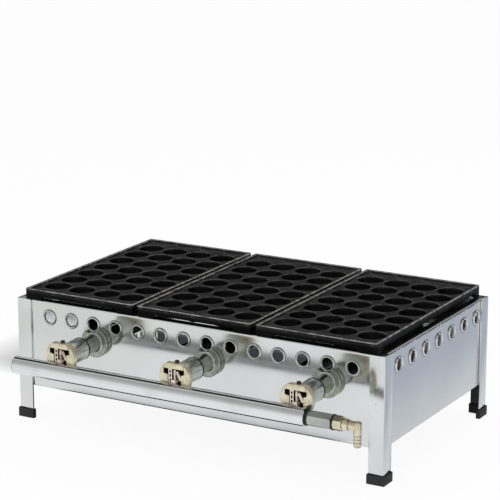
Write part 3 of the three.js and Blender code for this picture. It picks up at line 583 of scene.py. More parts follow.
# Mesh work, in millimetres


class Along(Enum):
    """Which way a turned piece's height runs."""

    FORWARD = (90.0, "X")
    INWARD = (-90.0, "X")
    RIGHT = (90.0, "Y")
    LEFT = (-90.0, "Y")

    def matrix(self, place: Vector | tuple[float, float, float] = (0.0, 0.0, 0.0)) -> Matrix:
        """The turn from +Z to this way, then the move to a place."""
        angle, axis = self.value
        return Matrix.Translation(Vector(place)) @ Matrix.Rotation(math.radians(angle), 4, axis)


class Workpiece:
    """A mesh in the making, in millimetres."""

    def __init__(self) -> None:
        """Starts with an empty mesh."""
        self.bm = bmesh.new()

    # Starting shapes

    def turn(self, profile: Profile, steps: int = 64, matrix: Matrix | None = None) -> Workpiece:
        """Spins a profile of radius and height about Z.

        Args:
            profile: The points; it starts and ends on the axis or on one point.
            steps: Faces round the axis.
            matrix: Where the turned body goes.

        Returns:
            This workpiece.
        """
        new = self._spun(profile, steps)
        faces = list({f for v in new for f in v.link_faces})
        bmesh.ops.recalc_face_normals(self.bm, faces=faces)
        if matrix is not None:
            bmesh.ops.transform(self.bm, matrix=matrix, verts=new)
        return self

    def cell(self, profile: Profile, steps: int, half: float, matrix: Matrix) -> Workpiece:
        """Adds a square of sheet with a spun form in its middle.

        Args:
            profile: The form's open profile, from the flat sheet at height 0 inwards.
            steps: Faces round the form.
            half: Half the square's side.
            matrix: Where the square goes.

        Returns:
            This workpiece.
        """
        before = set(self.bm.verts)
        form = set(self._spun(profile, steps))
        outer = [
            e
            for e in self.bm.edges
            if e.is_boundary and all(v in form and abs(v.co.z) < 0.01 for v in e.verts)
        ]

        def to_square(point: Vector) -> Vector:
            """Moves a point of the form's edge out to the square round it."""
            reach = half / max(abs(point.x), abs(point.y))
            return Vector((point.x * reach, point.y * reach, 0.0))

        self.grow(outer, to_square)
        added = [v for v in self.bm.verts if v not in before]
        bmesh.ops.transform(self.bm, matrix=matrix, verts=added)
        return self

    def _spun(self, profile: Profile, steps: int) -> list[bmesh.types.BMVert]:
        """Spins a profile of radius and height about Z.

        Args:
            profile: The points; where the last repeats the first, the profile is closed.
            steps: Faces round the axis.

        Returns:
            The new points of the mesh.
        """
        before = set(self.bm.verts)
        closed = profile[0] == profile[-1]
        points = profile[:-1] if closed else profile
        verts = [self.bm.verts.new((r, 0.0, h)) for r, h in points]
        pairs = list(zip(verts, verts[1:])) + ([(verts[-1], verts[0])] if closed else [])
        edges = [self.bm.edges.new(pair) for pair in pairs]
        bmesh.ops.spin(
            self.bm,
            geom=verts + edges,
            axis=(0, 0, 1),
            cent=(0, 0, 0),
            steps=steps,
            angle=2 * math.pi,
            use_merge=True,
        )
        new = [v for v in self.bm.verts if v not in before]
        bmesh.ops.remove_doubles(self.bm, verts=new, dist=1e-4)
        return [v for v in self.bm.verts if v not in before]

    def block(self, low: Vector | tuple, high: Vector | tuple) -> Workpiece:
        """Adds a box.

        Args:
            low: Its lowest corner.
            high: Its highest corner.

        Returns:
            This workpiece.
        """
        low, high = Vector(low), Vector(high)
        scale = Matrix.Diagonal((*(high - low), 1.0))
        bmesh.ops.create_cube(self.bm, size=1.0, matrix=Matrix.Translation((low + high) / 2) @ scale)
        return self

    def prism(self, outline: Profile, length: float, matrix: Matrix | None = None) -> Workpiece:
        """Extrudes an outline.

        Args:
            outline: Its points in XY.
            length: How far it goes up Z.
            matrix: Where the bar goes.

        Returns:
            This workpiece.
        """
        verts = [self.bm.verts.new((x, y, 0.0)) for x, y in outline]
        face = self.bm.faces.new(verts)
        grown = bmesh.ops.extrude_face_region(self.bm, geom=[face], use_keep_orig=True)["geom"]
        top = [g for g in grown if isinstance(g, bmesh.types.BMVert)]
        bmesh.ops.translate(self.bm, vec=(0, 0, length), verts=top)
        everything = verts + top
        faces = list({f for v in everything for f in v.link_faces})
        bmesh.ops.recalc_face_normals(self.bm, faces=faces)
        if matrix is not None:
            bmesh.ops.transform(self.bm, matrix=matrix, verts=everything)
        return self

    def hexagon(self, flats: float, low: float, high: float, matrix: Matrix | None = None) -> Workpiece:
        """Adds a six-sided bar about Z with two flats facing along X.

        Args:
            flats: Its width across flats.
            low: Where it starts.
            high: Where it ends.
            matrix: Where the bar goes.

        Returns:
            This workpiece.
        """
        radius = flats / 2 / math.cos(math.pi / 6)
        turn = Matrix.Translation((0, 0, (low + high) / 2)) @ Matrix.Rotation(math.pi / 6, 4, "Z")
        bmesh.ops.create_cone(
            self.bm,
            cap_ends=True,
            segments=6,
            radius1=radius,
            radius2=radius,
            depth=high - low,
            matrix=(matrix or Matrix.Identity(4)) @ turn,
        )
        return self

    # Shaping

    def move(self, matrix: Matrix) -> Workpiece:
        """Moves the whole mesh."""
        bmesh.ops.transform(self.bm, matrix=matrix, verts=self.bm.verts)
        return self

    def boundary(self, test: Callable[[Vector], bool]) -> list[bmesh.types.BMEdge]:
        """The open edges whose two ends pass a test."""
        return [e for e in self.bm.edges if e.is_boundary and all(test(v.co) for v in e.verts)]

    def grow(
        self, edges: list[bmesh.types.BMEdge], place: Callable[[Vector], Vector]
    ) -> list[bmesh.types.BMEdge]:
        """Extrudes open edges and moves each new point.

        Args:
            edges: The edges to extrude.
            place: Gives a new point's place from its old one.

        Returns:
            The new outer edges.
        """
        grown = bmesh.ops.extrude_edge_only(self.bm, edges=edges)["geom"]
        for vert in (g for g in grown if isinstance(g, bmesh.types.BMVert)):
            vert.co = place(vert.co)
        return [g for g in grown if isinstance(g, bmesh.types.BMEdge)]

    def weld(self, distance: float = 0.001) -> Workpiece:
        """Merges points that coincide."""
        bmesh.ops.remove_doubles(self.bm, verts=self.bm.verts, dist=distance)
        return self

    def add(self, other: Workpiece) -> Workpiece:
        """Takes another mesh in, without joining the two bodies.

        Args:
            other: The mesh, which is used up.

        Returns:
            This workpiece.
        """
        mesh = bpy.data.meshes.new("passing")
        other.bm.to_mesh(mesh)
        other.bm.free()
        self.bm.from_mesh(mesh)
        bpy.data.meshes.remove(mesh)
        return self

    def sharp_edges(self, degrees: float) -> list[bmesh.types.BMEdge]:
        """The edges where two faces meet at more than an angle."""
        limit = math.radians(degrees)
        return [e for e in self.bm.edges if len(e.link_faces) == 2 and e.calc_face_angle(0.0) > limit]

    def round_edges(
        self,
        width: float,
        segments: int = 2,
        degrees: float = 32.0,
        test: Callable[[bmesh.types.BMEdge], bool] | None = None,
    ) -> Workpiece:
        """Bevels the sharp edges.

        Args:
            width: The bevel's width.
            segments: Its number of faces.
            degrees: The least angle between an edge's faces.
            test: Says which of the sharp edges are bevelled.

        Returns:
            This workpiece.
        """
        edges = [e for e in self.sharp_edges(degrees) if test is None or test(e)]
        bmesh.ops.bevel(
            self.bm,
            geom=edges,
            offset=width,
            offset_type="OFFSET",
            segments=segments,
            profile=0.5,
            affect="EDGES",
            clamp_overlap=True,
            material=-1,
        )
        return self

    def cut(self, cutter: Workpiece, keep_common: bool = False) -> Workpiece:
        """Takes another body away from this one, or keeps what they share.

        Args:
            cutter: The other body, which is used up.
            keep_common: Whether what they share is kept.

        Returns:
            This workpiece.
        """
        target = self._loose_object("target")
        tool = cutter._loose_object("tool")
        modifier = target.modifiers.new("cut", "BOOLEAN")
        modifier.operation = "INTERSECT" if keep_common else "DIFFERENCE"
        modifier.solver = "EXACT"
        modifier.object = tool
        bpy.context.view_layer.update()
        shaped = target.evaluated_get(bpy.context.evaluated_depsgraph_get())
        self.bm.clear()
        self.bm.from_mesh(shaped.to_mesh())
        shaped.to_mesh_clear()
        for loose in (target, tool):
            mesh = loose.data
            bpy.data.objects.remove(loose)
            bpy.data.meshes.remove(mesh)
        cutter.bm.free()
        return self.weld(0.002)

    def _loose_object(self, name: str) -> bpy.types.Object:
        """A passing object with this mesh, for a modifier.

        Args:
            name: The object's name.

        Returns:
            The object, linked to the scene.
        """
        mesh = bpy.data.meshes.new(name)
        self.bm.to_mesh(mesh)
        made = bpy.data.objects.new(name, mesh)
        bpy.context.scene.collection.objects.link(made)
        return made

    # The finished piece

    def finish(
        self,
        name: str,
        look: Finish,
        body: str = ROOT_BODY,
        replaces: Sequence[str] = (),
        wall: float = 0.0,
        smooth_below: float = 34.0,
    ) -> bpy.types.Object:
        """Makes the object, in metres, with its place in its mesh.

        Args:
            name: The piece's name.
            look: Its finish.
            body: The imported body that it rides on.
            replaces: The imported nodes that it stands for.
            wall: The thickness given to an open sheet, inwards.
            smooth_below: Edges that turn less than this many degrees are shaded smooth.

        Returns:
            The object.
        """
        if wall == 0.0:
            bmesh.ops.recalc_face_normals(self.bm, faces=self.bm.faces)
        limit = math.radians(smooth_below)
        for edge in self.bm.edges:
            edge.smooth = not edge.is_boundary and edge.calc_face_angle(0.0) <= limit
        for face in self.bm.faces:
            face.smooth = True
        bmesh.ops.transform(self.bm, matrix=Matrix.Scale(MM, 4), verts=self.bm.verts)
        mesh = bpy.data.meshes.new(name)
        self.bm.to_mesh(mesh)
        self.bm.free()
        mesh.materials.append(look.material())
        made = bpy.data.objects.new(name, mesh)
        bpy.context.scene.collection.objects.link(made)
        if wall:
            modifier = made.modifiers.new("wall", "SOLIDIFY")
            modifier.thickness = wall * MM
            modifier.offset = -1.0
        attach(made, body)
        if replaces:
            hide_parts(*replaces)
        LOG.info("%s: %d faces on %s", name, len(mesh.polygons), body)
        return made


def ring(inner: float, outer: float, low: float, high: float) -> list[tuple[float, float]]:
    """A tube's closed profile between two heights."""
    return [(inner, low), (outer, low), (outer, high), (inner, high), (inner, low)]


def disc(radius: float, low: float, high: float) -> list[tuple[float, float]]:
    """A solid disc's profile between two heights."""
    return [(0.0, low), (radius, low), (radius, high), (0.0, high)]


def is_upright(edge: bmesh.types.BMEdge) -> bool:
    """Whether an edge of a block rises by more than a few millimetres."""
    return abs(edge.verts[0].co.z - edge.verts[1].co.z) > UPRIGHT


def dress_node(name: str, look: Finish) -> None:
    """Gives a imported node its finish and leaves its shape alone.

    Args:
        name: The node's name.
        look: Its finish.
    """
    node = bpy.data.objects[name]
    node.data.materials.clear()
    node.data.materials.append(look.material())
    LOG.info("%s: packed solid, dressed with %s", name, look.name)


# Legs and sheet box


@dataclass
class CornerLegs:
    """Four angle legs with moulded foot caps."""

    width: float = 640.0
    depth: float = 370.0
    height: float = 195.0
    flange: float = 25.0
    wall: float = 3.0
    outer_bend: float = 1.6
    foot_height: float = 15.0
    foot_margin: float = 2.0
    sole: float = 3.0
    gap: float = 0.3
    weld_heights: tuple[float, ...] = (70.0, 96.0, 122.0, 148.0, 176.0)
    weld_radius: float = 1.7

    def build(self) -> None:
        """Makes the legs and the caps at the four corners."""
        corners = {
            "front_left": (1, 1),
            "front_right": (-1, 1),
            "rear_left": (1, -1),
            "rear_right": (-1, -1),
        }
        for name, (sx, sy) in corners.items():
            flip = Matrix.Diagonal((sx, sy, 1.0, 1.0))
            place = Matrix.Translation((-sx * self.width / 2, -sy * self.depth / 2, 0.0)) @ flip
            leg = self.angle(self.flange, self.wall, self.height - self.sole - self.gap)
            leg.move(Matrix.Translation((0, 0, self.sole + self.gap)))
            leg.round_edges(self.outer_bend, 4, 60.0, self.is_outer_corner)
            leg.round_edges(0.35, 2, 60.0)
            self.add_welds(leg)
            leg.move(place)
            leg.finish(f"folded_leg_{name}", LEG_SHEET, replaces=[f"leg_{name}"])
            cap = self.cap().move(place)
            cap.finish(f"foot_boot_{name}", RUBBER, replaces=[f"foot_cap_{name}"])

    @staticmethod
    def angle(flange: float, wall: float, height: float) -> Workpiece:
        """An L-shaped bar with its corner on the Z axis."""
        outline = [(0, 0), (flange, 0), (flange, wall), (wall, wall), (wall, flange), (0, flange)]
        return Workpiece().prism(outline, height)

    @staticmethod
    def is_outer_corner(edge: bmesh.types.BMEdge) -> bool:
        """Whether an edge runs up the bar's outer corner."""
        return all(abs(v.co.x) < 0.01 and abs(v.co.y) < 0.01 for v in edge.verts)

    def add_welds(self, leg: Workpiece) -> None:
        """Raises the faint round marks that spot welding leaves on both flanges.

        Args:
            leg: The leg, with its corner on the Z axis.
        """
        middle = self.flange * 0.56
        for height in self.weld_heights:
            for along, place in (
                (Along.FORWARD, (middle, 0.0, height)),
                (Along.LEFT, (0.0, middle, height)),
            ):
                mark = [(0.0, 0.22), (self.weld_radius * 0.55, 0.18), (self.weld_radius, -0.1), (0.0, -0.1)]
                leg.turn(mark, 16, along.matrix(place))

    def cap(self) -> Workpiece:
        """A moulded boot: an L round the bar's foot with thick walls and a closed sole.

        Returns:
            The boot, with the bar's corner on the Z axis.
        """
        arm = self.flange + 2 * self.foot_margin
        boot = self.angle(arm, self.wall + 2 * self.foot_margin, self.foot_height)
        boot.move(Matrix.Translation((-self.foot_margin, -self.foot_margin, 0)))
        pocket = self.angle(self.flange + 2 * self.gap, self.wall + 2 * self.gap, self.foot_height)
        boot.cut(pocket.move(Matrix.Translation((-self.gap, -self.gap, self.sole))))
        return boot.round_edges(0.7, 3, 50.0)


@dataclass
class PressedSheet:
    """A bent sheet with a row of air holes pressed outwards."""

    node: str
    look: Finish
    length: float
    turn: float
    place: tuple[float, float, float]
    lip_length: float
    holes: int = 0
    pitch: float = 40.6
    shift: float = 0.0
    height: float = 141.0
    hole_height: float = 116.0
    hole_radius: float = 9.0
    rim_radius: float = 12.5
    rim_rise: float = 2.5
    rim_flat: float = 0.8
    bead_shares: Profile = (
        (0.0, 0.0),
        (0.12, 0.06),
        (0.24, 0.34),
        (0.36, 0.74),
        (0.52, 0.97),
        (0.68, 0.97),
        (0.86, 0.66),
    )
    hole_steps: int = 48
    bend: float = 2.2
    top_lip: float = 13.0
    bottom_lip: float = 10.0
    wall: float = 1.5

    def rim(self) -> list[tuple[float, float]]:
        """The pressed bead's profile, from the flat sheet over its crest into the hole.

        Returns:
            Radius and rise of each point.
        """
        foot, hole, rise = self.rim_radius, self.hole_radius, self.rim_rise
        curve = [(foot + (hole - foot) * inwards, rise * up) for inwards, up in self.bead_shares]
        return [(foot + self.rim_flat, 0.0), *curve, (hole, 0.0), (hole, -self.wall)]

    def build(self) -> None:
        """Makes the sheet, its holes and its lips, and puts it on its side of the box."""
        sheet = Workpiece()
        half = self.pitch / 2
        first = self.shift - self.pitch * (self.holes - 1) / 2
        for i in range(self.holes):
            place = Along.FORWARD.matrix((first + i * self.pitch, 0.0, self.hole_height))
            sheet.cell(self.rim(), self.hole_steps, half, place)
        if self.holes:
            sheet.weld(0.01)
            low, high = self.hole_height - half, self.hole_height + half
            ends = (first - half, first + (self.holes - 1) * self.pitch + half)
            self.add_borders(sheet, low, high, ends)
        else:
            self.add_plain(sheet)
        self.add_lips(sheet)
        sheet.weld(0.01)
        if sum(f.normal.y * f.calc_area() for f in sheet.bm.faces) > 0:
            bmesh.ops.reverse_faces(sheet.bm, faces=sheet.bm.faces)
        spin = Matrix.Rotation(math.radians(self.turn), 4, "Z")
        sheet.move(Matrix.Translation(self.place) @ spin)
        sheet.finish(f"sheet_{self.node}", self.look, replaces=[self.node], wall=self.wall)

    def add_borders(self, sheet: Workpiece, low: float, high: float, ends: tuple[float, float]) -> None:
        """Widens the row of cells to the sheet's full length and height.

        Args:
            sheet: The sheet in the making.
            low: The row's lower edge.
            high: The row's upper edge.
            ends: The row's two ends.
        """
        for end, target in zip(ends, (-self.length / 2, self.length / 2)):
            edges = sheet.boundary(lambda p, end=end: abs(p.x - end) < 0.02)
            sheet.grow(edges, lambda p, target=target: Vector((target, p.y, p.z)))
        for level, target in ((low, self.bend), (high, self.height - self.bend)):
            edges = sheet.boundary(lambda p, level=level: abs(p.z - level) < 0.02)
            sheet.grow(edges, lambda p, target=target: Vector((p.x, p.y, target)))

    def add_plain(self, sheet: Workpiece) -> None:
        """Makes the flat of a sheet that has no holes.

        Args:
            sheet: The sheet in the making.
        """
        scale = Matrix.Diagonal((self.length, self.height - 2 * self.bend, 1.0, 1.0))
        upright = Matrix.Translation((0, 0, self.height / 2)) @ Matrix.Rotation(math.pi / 2, 4, "X")
        bmesh.ops.create_grid(sheet.bm, x_segments=24, y_segments=4, size=0.5, matrix=upright @ scale)

    def add_lips(self, sheet: Workpiece) -> None:
        """Bends the top and bottom edges inwards.

        Args:
            sheet: The sheet in the making.
        """
        for top, lip in ((True, self.top_lip), (False, self.bottom_lip)):
            edge_level = self.height if top else 0.0
            sign = -1.0 if top else 1.0
            level = edge_level + sign * self.bend
            edges = sheet.boundary(lambda p, level=level: abs(p.z - level) < 0.02 and abs(p.y) < 0.02)
            steps = [
                (
                    self.bend * (1 - math.cos(angle)),
                    edge_level + sign * self.bend * (1 - math.sin(angle)),
                )
                for angle in QUARTER_TURN[1:]
            ]
            for y, z in steps + [(lip, edge_level)]:
                edges = sheet.grow(edges, lambda p, y=y, z=z: Vector((self.inside_lip(p.x), y, z)))

    def inside_lip(self, x: float) -> float:
        """Keeps a point of a lip between its neighbours' lips."""
        reach = self.lip_length / 2
        return max(-reach, min(reach, x))


@dataclass
class SheetBox:
    """The four sheets and the bars inside them."""

    face_x: float = 316.7
    face_y: float = 181.7
    foot: float = 54.0
    side_inset: float = 1.8
    side_lip_inset: float = 13.3
    front_holes: int = 14
    front_pitch: float = 40.6
    front_shift: float = 3.0
    side_holes: int = 7
    side_pitch: float = 46.3
    side_shift: float = 5.0
    bars: tuple[str, ...] = (
        "cross_rail_left",
        "cross_rail_right",
        "burner_bearer_front",
        "burner_bearer_rear",
    )

    def build(self) -> None:
        """Makes the sheets and dresses the bars."""
        length = 2 * self.face_x
        PressedSheet(
            "front_panel",
            FRONT_SHEET,
            length,
            0.0,
            (0, -self.face_y, self.foot),
            length,
            self.front_holes,
            self.front_pitch,
            self.front_shift,
        ).build()
        PressedSheet("rear_panel", SHEET, length, 180.0, (0, self.face_y, self.foot), length).build()
        for node, side, look in (("left_panel", -1, LEFT_SHEET), ("right_panel", 1, RIGHT_SHEET)):
            PressedSheet(
                node,
                look,
                2 * (self.face_y - self.side_inset),
                side * 90.0,
                (side * self.face_x, 0, self.foot),
                2 * (self.face_y - self.side_lip_inset),
                self.side_holes,
                self.side_pitch,
                side * self.side_shift,
            ).build()
        for bar in self.bars:
            dress_node(bar, INNER_STEEL)


# Pans


@dataclass
class CupPan:
    """A loose cast-iron pan of half-round cups with a low rim and corner feet."""

    columns: int = 4
    rows: int = 7
    pitch: float = 46.0
    cup_radius: float = 21.35
    cup_depth: float = 19.5
    lip: float = 1.1
    wall: float = 3.0
    width: float = 198.0
    depth: float = 368.0
    rim_wall: float = 4.0
    rim_rise: float = 3.0
    skirt: float = 11.0
    foot_depth: float = 16.7
    foot_width: float = 30.0
    foot_length: float = 20.0
    corner: float = 3.0
    edge_round: float = 0.8
    flat: float = 0.25
    overlap: float = 0.3
    bowl_shares: tuple[float, ...] = (0.2, 0.4, 0.6, 0.78, 0.92)
    bowl_fullness: float = 0.9
    plate_height: float = 209.0
    bay_pitch: float = 206.0
    steps: int = 48

    def build(self) -> None:
        """Makes the three pans."""
        for i, bay in enumerate(BAYS):
            pan = Workpiece()
            self.add_plate(pan)
            pan.weld(0.01)
            if sum(f.normal.z * f.calc_area() for f in pan.bm.faces) < 0:
                bmesh.ops.reverse_faces(pan.bm, faces=pan.bm.faces)
            bmesh.ops.solidify(pan.bm, geom=pan.bm.faces[:], thickness=self.wall)
            self.add_rim(pan)
            middle = (i - 1) * self.bay_pitch
            pan.move(Matrix.Translation((middle, 0, self.plate_height)))
            iron = replace(PAN_IRON, name=f"pan_iron_{bay}", centre=middle * MM)
            pan.finish(f"cup_pan_{bay}", iron, f"loose_pan_{bay}", [f"pan_{bay}"], smooth_below=38.0)

    def cup_profile(self) -> list[tuple[float, float]]:
        """A cup from its rounded lip down to the middle of its floor.

        Returns:
            Radius and height of each point.
        """
        lip = [
            (self.cup_radius + self.lip * (1 - math.sin(a)), -self.lip * (1 - math.cos(a)))
            for a in QUARTER_TURN
        ]
        bowl = []
        for share in self.bowl_shares:
            angle = share * math.pi / 2
            depth = self.lip + (self.cup_depth - self.lip) * math.sin(angle)
            bowl.append((self.cup_radius * math.cos(angle) ** self.bowl_fullness, -depth))
        return [(self.cup_radius + self.lip + self.flat, 0.0), *lip, *bowl, (0.0, -self.cup_depth)]

    def add_plate(self, pan: Workpiece) -> None:
        """Lays out the cups and joins them to a flat border.

        Args:
            pan: The pan in the making.
        """
        half = self.pitch / 2
        profile = self.cup_profile()
        for i in range(self.columns):
            for j in range(self.rows):
                x = (i - (self.columns - 1) / 2) * self.pitch
                y = (j - (self.rows - 1) / 2) * self.pitch
                pan.cell(profile, self.steps, half, Matrix.Translation((x, y, 0.0)))
        pan.weld(0.01)
        inner_x = self.width / 2 - self.rim_wall + self.overlap
        inner_y = self.depth / 2 - self.rim_wall + self.overlap
        rate_x = inner_x / (self.columns * half)
        rate_y = inner_y / (self.rows * half)
        edges = pan.boundary(lambda p: abs(p.z) < 0.01)
        pan.grow(edges, lambda p: Vector((p.x * rate_x, p.y * rate_y, 0.0)))

    def add_rim(self, pan: Workpiece) -> None:
        """Adds the rim's wall, with its feet at the corners.

        Args:
            pan: The pan in the making.
        """
        rim = Workpiece()
        outer = Vector((self.width / 2, self.depth / 2, 0.0))
        drop = Vector((0, 0, self.foot_depth - self.rim_rise))
        rim.block(-outer - drop, outer + Vector((0, 0, self.rim_rise)))
        rim.round_edges(self.corner, 4, 60.0, is_upright)
        inner = outer - Vector((self.rim_wall, self.rim_wall, 0.0))
        tall = Vector((0, 0, 100))
        hollow = Workpiece().block(-inner - tall, inner + tall)
        hollow.round_edges(self.corner, 4, 60.0, is_upright)
        rim.cut(hollow)
        gap_top = self.rim_rise - self.skirt
        front = Vector((self.width / 2 - self.foot_width, self.depth, 0))
        side = Vector((self.width, self.depth / 2 - self.foot_length, 0))
        for reach in (front, side):
            rim.cut(Workpiece().block(-reach - tall, reach + Vector((0, 0, gap_top))))
        rim.round_edges(self.edge_round, 3, 50.0)
        pan.add(rim)


# Burners and mixing tubes


@dataclass
class BurnerTube:
    """A U-shaped burner: a leg behind the inlet, a bend at the back and a blind leg."""

    offset: float = 27.0
    radius: float = 12.0
    start: float = 13.0
    length: float = 280.0
    inlet_radius: float = 16.0
    inlet_start: float = 4.0
    inlet_length: float = 18.0
    port_width: float = 3.0
    port_length: float = 54.0
    port_bridge: float = 26.0
    port_margin: float = 33.0
    port_depth: float = 5.0
    ports: int = 3
    bore: float = 11.8

    def build(self, bay: str, place: Vector) -> None:
        """Makes the burner of one bay.

        Args:
            bay: The bay's name.
            place: The inlet's axis at the sheet's face.
        """
        path = Workpiece()
        ring_matrix = Along.INWARD.matrix((0, self.start, 0))
        bmesh.ops.create_circle(path.bm, segments=32, radius=self.radius, matrix=ring_matrix)
        way = Vector((0, self.length, 0))
        end = path.grow(path.bm.edges[:], lambda p: p + way)
        verts = list({v for e in end for v in e.verts})
        turned = bmesh.ops.spin(
            path.bm,
            geom=verts + end,
            axis=(0, 0, 1),
            cent=(-self.offset, self.start + self.length, 0),
            steps=20,
            angle=math.pi,
        )["geom_last"]
        last = [g for g in turned if isinstance(g, bmesh.types.BMEdge)]
        path.grow(last, lambda p: p - way)
        path.weld(0.01)
        bmesh.ops.holes_fill(path.bm, edges=[e for e in path.bm.edges if e.is_boundary], sides=0)
        bmesh.ops.recalc_face_normals(path.bm, faces=path.bm.faces)
        for slot in self.slots():
            path.cut(slot)
        inlet = [
            (self.bore, self.inlet_start),
            (self.inlet_radius - 0.8, self.inlet_start),
            (self.inlet_radius, self.inlet_start + 0.8),
            (self.inlet_radius, self.inlet_start + self.inlet_length - 2),
            (self.radius - 1, self.inlet_start + self.inlet_length),
            (self.bore, self.inlet_start + self.inlet_length - 2),
            (self.bore, self.inlet_start),
        ]
        path.turn(inlet, 48, Along.INWARD.matrix())
        path.move(Matrix.Translation(place))
        path.finish(f"burner_tube_{bay}", BURNER_IRON, replaces=[f"burner_pipe_{bay}"])

    def slots(self) -> list[Workpiece]:
        """The flame slots along the top of both legs.

        Returns:
            One cutter for each slot.
        """
        made = []
        step = self.port_length + self.port_bridge
        for i in range(self.ports):
            y = self.start + self.port_margin + self.port_length / 2 + i * step
            for x in (0.0, -2 * self.offset):
                half = Vector((self.port_width / 2, self.port_length / 2, self.port_depth))
                middle = Vector((x, y, self.radius))
                made.append(Workpiece().block(middle - half, middle + half))
        return made


@dataclass
class MixingTube:
    """The turned tube that carries gas and air through the front sheet, with its air control."""

    collar_radius: float = 23.5
    collar_thickness: float = 8.8
    spigot_radius: float = 11.5
    bore: float = 8.0
    mouth: float = 12.0
    neck_radius: float = 13.5
    neck_flare: float = 2.6
    barrel_radius: float = 15.0
    barrel_start: float = 43.6
    ring_radius: float = 17.7
    ring_width: float = 2.6
    sleeve_radius: float = 17.4
    sleeve_bore: float = 15.6
    sleeve_start: float = 46.5
    sleeve_length: float = 31.0
    slot_width: float = 12.0
    slot_length: float = 14.0
    slot_corner: float = 2.5
    slot_top: float = -1.0
    reach_in: float = 12.0
    notch_radius: float = 12.9
    gap: float = 0.3

    def build(self, bay: str, place: Vector, hole_x: float, hole_rise: float) -> None:
        """Makes the collar, the tube, the stop ring and the air sleeve of one bay.

        Args:
            bay: The bay's name.
            place: The tube's axis at the sheet's face.
            hole_x: The near air hole's place across, from the axis.
            hole_rise: Its height above the axis.
        """
        collar = self.collar(place, hole_x, hole_rise)
        collar.finish(f"collar_{bay}", COLLAR_ZINC, replaces=[f"panel_collar_{bay}"])
        self.tube(place).finish(f"venturi_{bay}", ZINC, replaces=[f"mixing_tube_{bay}"])
        low, high = self.barrel_start, self.barrel_start + self.ring_width
        profile = ring(self.barrel_radius + self.gap, self.ring_radius, low, high)
        stop = Workpiece().turn(profile, 72, Along.FORWARD.matrix(place)).round_edges(0.5, 3)
        stop.finish(f"stop_band_{bay}", RUBBER, replaces=[f"stop_ring_{bay}"])
        self.sleeve(place).finish(f"control_sleeve_{bay}", ZINC, f"air_control_{bay}", [f"air_sleeve_{bay}"])

    def collar(self, place: Vector, hole_x: float, hole_rise: float) -> Workpiece:
        """A grooved flange, cut away round the air hole above it.

        Args:
            place: The tube's axis at the sheet's face.
            hole_x: The air hole's place across, from the axis.
            hole_rise: Its height above the axis.

        Returns:
            The collar.
        """
        inner, outer, thick = self.spigot_radius + self.gap, self.collar_radius, self.collar_thickness
        profile = [
            (inner, self.gap),
            (outer - 0.4, self.gap),
            (outer, 0.8),
            (outer, 2.2),
            (outer - 1.6, 2.5),
            (outer - 1.6, 3.9),
            (outer, 4.2),
            (outer, 5.4),
            (outer - 1.6, 5.7),
            (outer - 1.6, 6.8),
            (outer, 7.1),
            (outer, thick - 0.7),
            (outer - 0.7, thick),
            (18.5, thick - 0.15),
            (inner, thick - 0.3),
            (inner, self.gap),
        ]
        collar = Workpiece().turn(profile, 96)
        place_notch = Matrix.Translation((hole_x, hole_rise, 0))
        notch = Workpiece().turn(disc(self.notch_radius, -5.0, 20.0), 48, place_notch)
        collar.cut(notch)
        return collar.move(Along.FORWARD.matrix(place))

    def tube(self, place: Vector) -> Workpiece:
        """The spigot, waisted neck and bored barrel.

        Args:
            place: The tube's axis at the sheet's face.

        Returns:
            The tube.
        """
        neck, front = self.neck_radius, self.collar_thickness
        end = self.sleeve_start + self.sleeve_length
        flare = [
            (neck + self.neck_flare * (1 - math.sin(a)), front + self.neck_flare * (1 - math.cos(a)))
            for a in QUARTER_TURN
        ]
        profile = [
            (self.bore, -self.reach_in),
            (self.spigot_radius - 0.5, -self.reach_in),
            (self.spigot_radius, 0.5 - self.reach_in),
            (self.spigot_radius, front - 0.05),
            *flare,
            (neck, self.barrel_start - 2.0),
            (neck + 0.4, self.barrel_start - 1.2),
            (self.barrel_radius, self.barrel_start - 0.5),
            (self.barrel_radius, end),
            (self.mouth, end),
            (self.bore, self.barrel_start),
            (self.bore, -self.reach_in),
        ]
        tube = Workpiece().turn(profile, 72)
        tube.move(Along.FORWARD.matrix())
        tube.cut(self.slot())
        return tube.move(Matrix.Translation(place))

    def sleeve(self, place: Vector) -> Workpiece:
        """The air sleeve, with a slot underneath.

        Args:
            place: The tube's axis at the sheet's face.

        Returns:
            The sleeve.
        """
        start, end = self.sleeve_start, self.sleeve_start + self.sleeve_length
        outer, inner = self.sleeve_radius, self.sleeve_bore
        profile = [
            (inner, start),
            (outer - 0.6, start),
            (outer, start + 0.6),
            (outer, end - 0.6),
            (outer - 0.6, end),
            (inner, end),
            (inner, start),
        ]
        sleeve = Workpiece().turn(profile, 72).move(Along.FORWARD.matrix())
        sleeve.cut(self.slot())
        return sleeve.move(Matrix.Translation(place))

    def slot(self) -> Workpiece:
        """The air slot's shape, under the axis.

        Returns:
            The cutter.
        """
        middle = self.sleeve_start + self.sleeve_length / 2
        half_x, half_y = self.slot_width / 2, self.slot_length / 2
        low = (-half_x, -middle - half_y, -2 * self.barrel_radius)
        cutter = Workpiece().block(low, (half_x, -middle + half_y, self.slot_top))
        return cutter.round_edges(self.slot_corner, 4, 60.0, is_upright)


# Nozzle heads


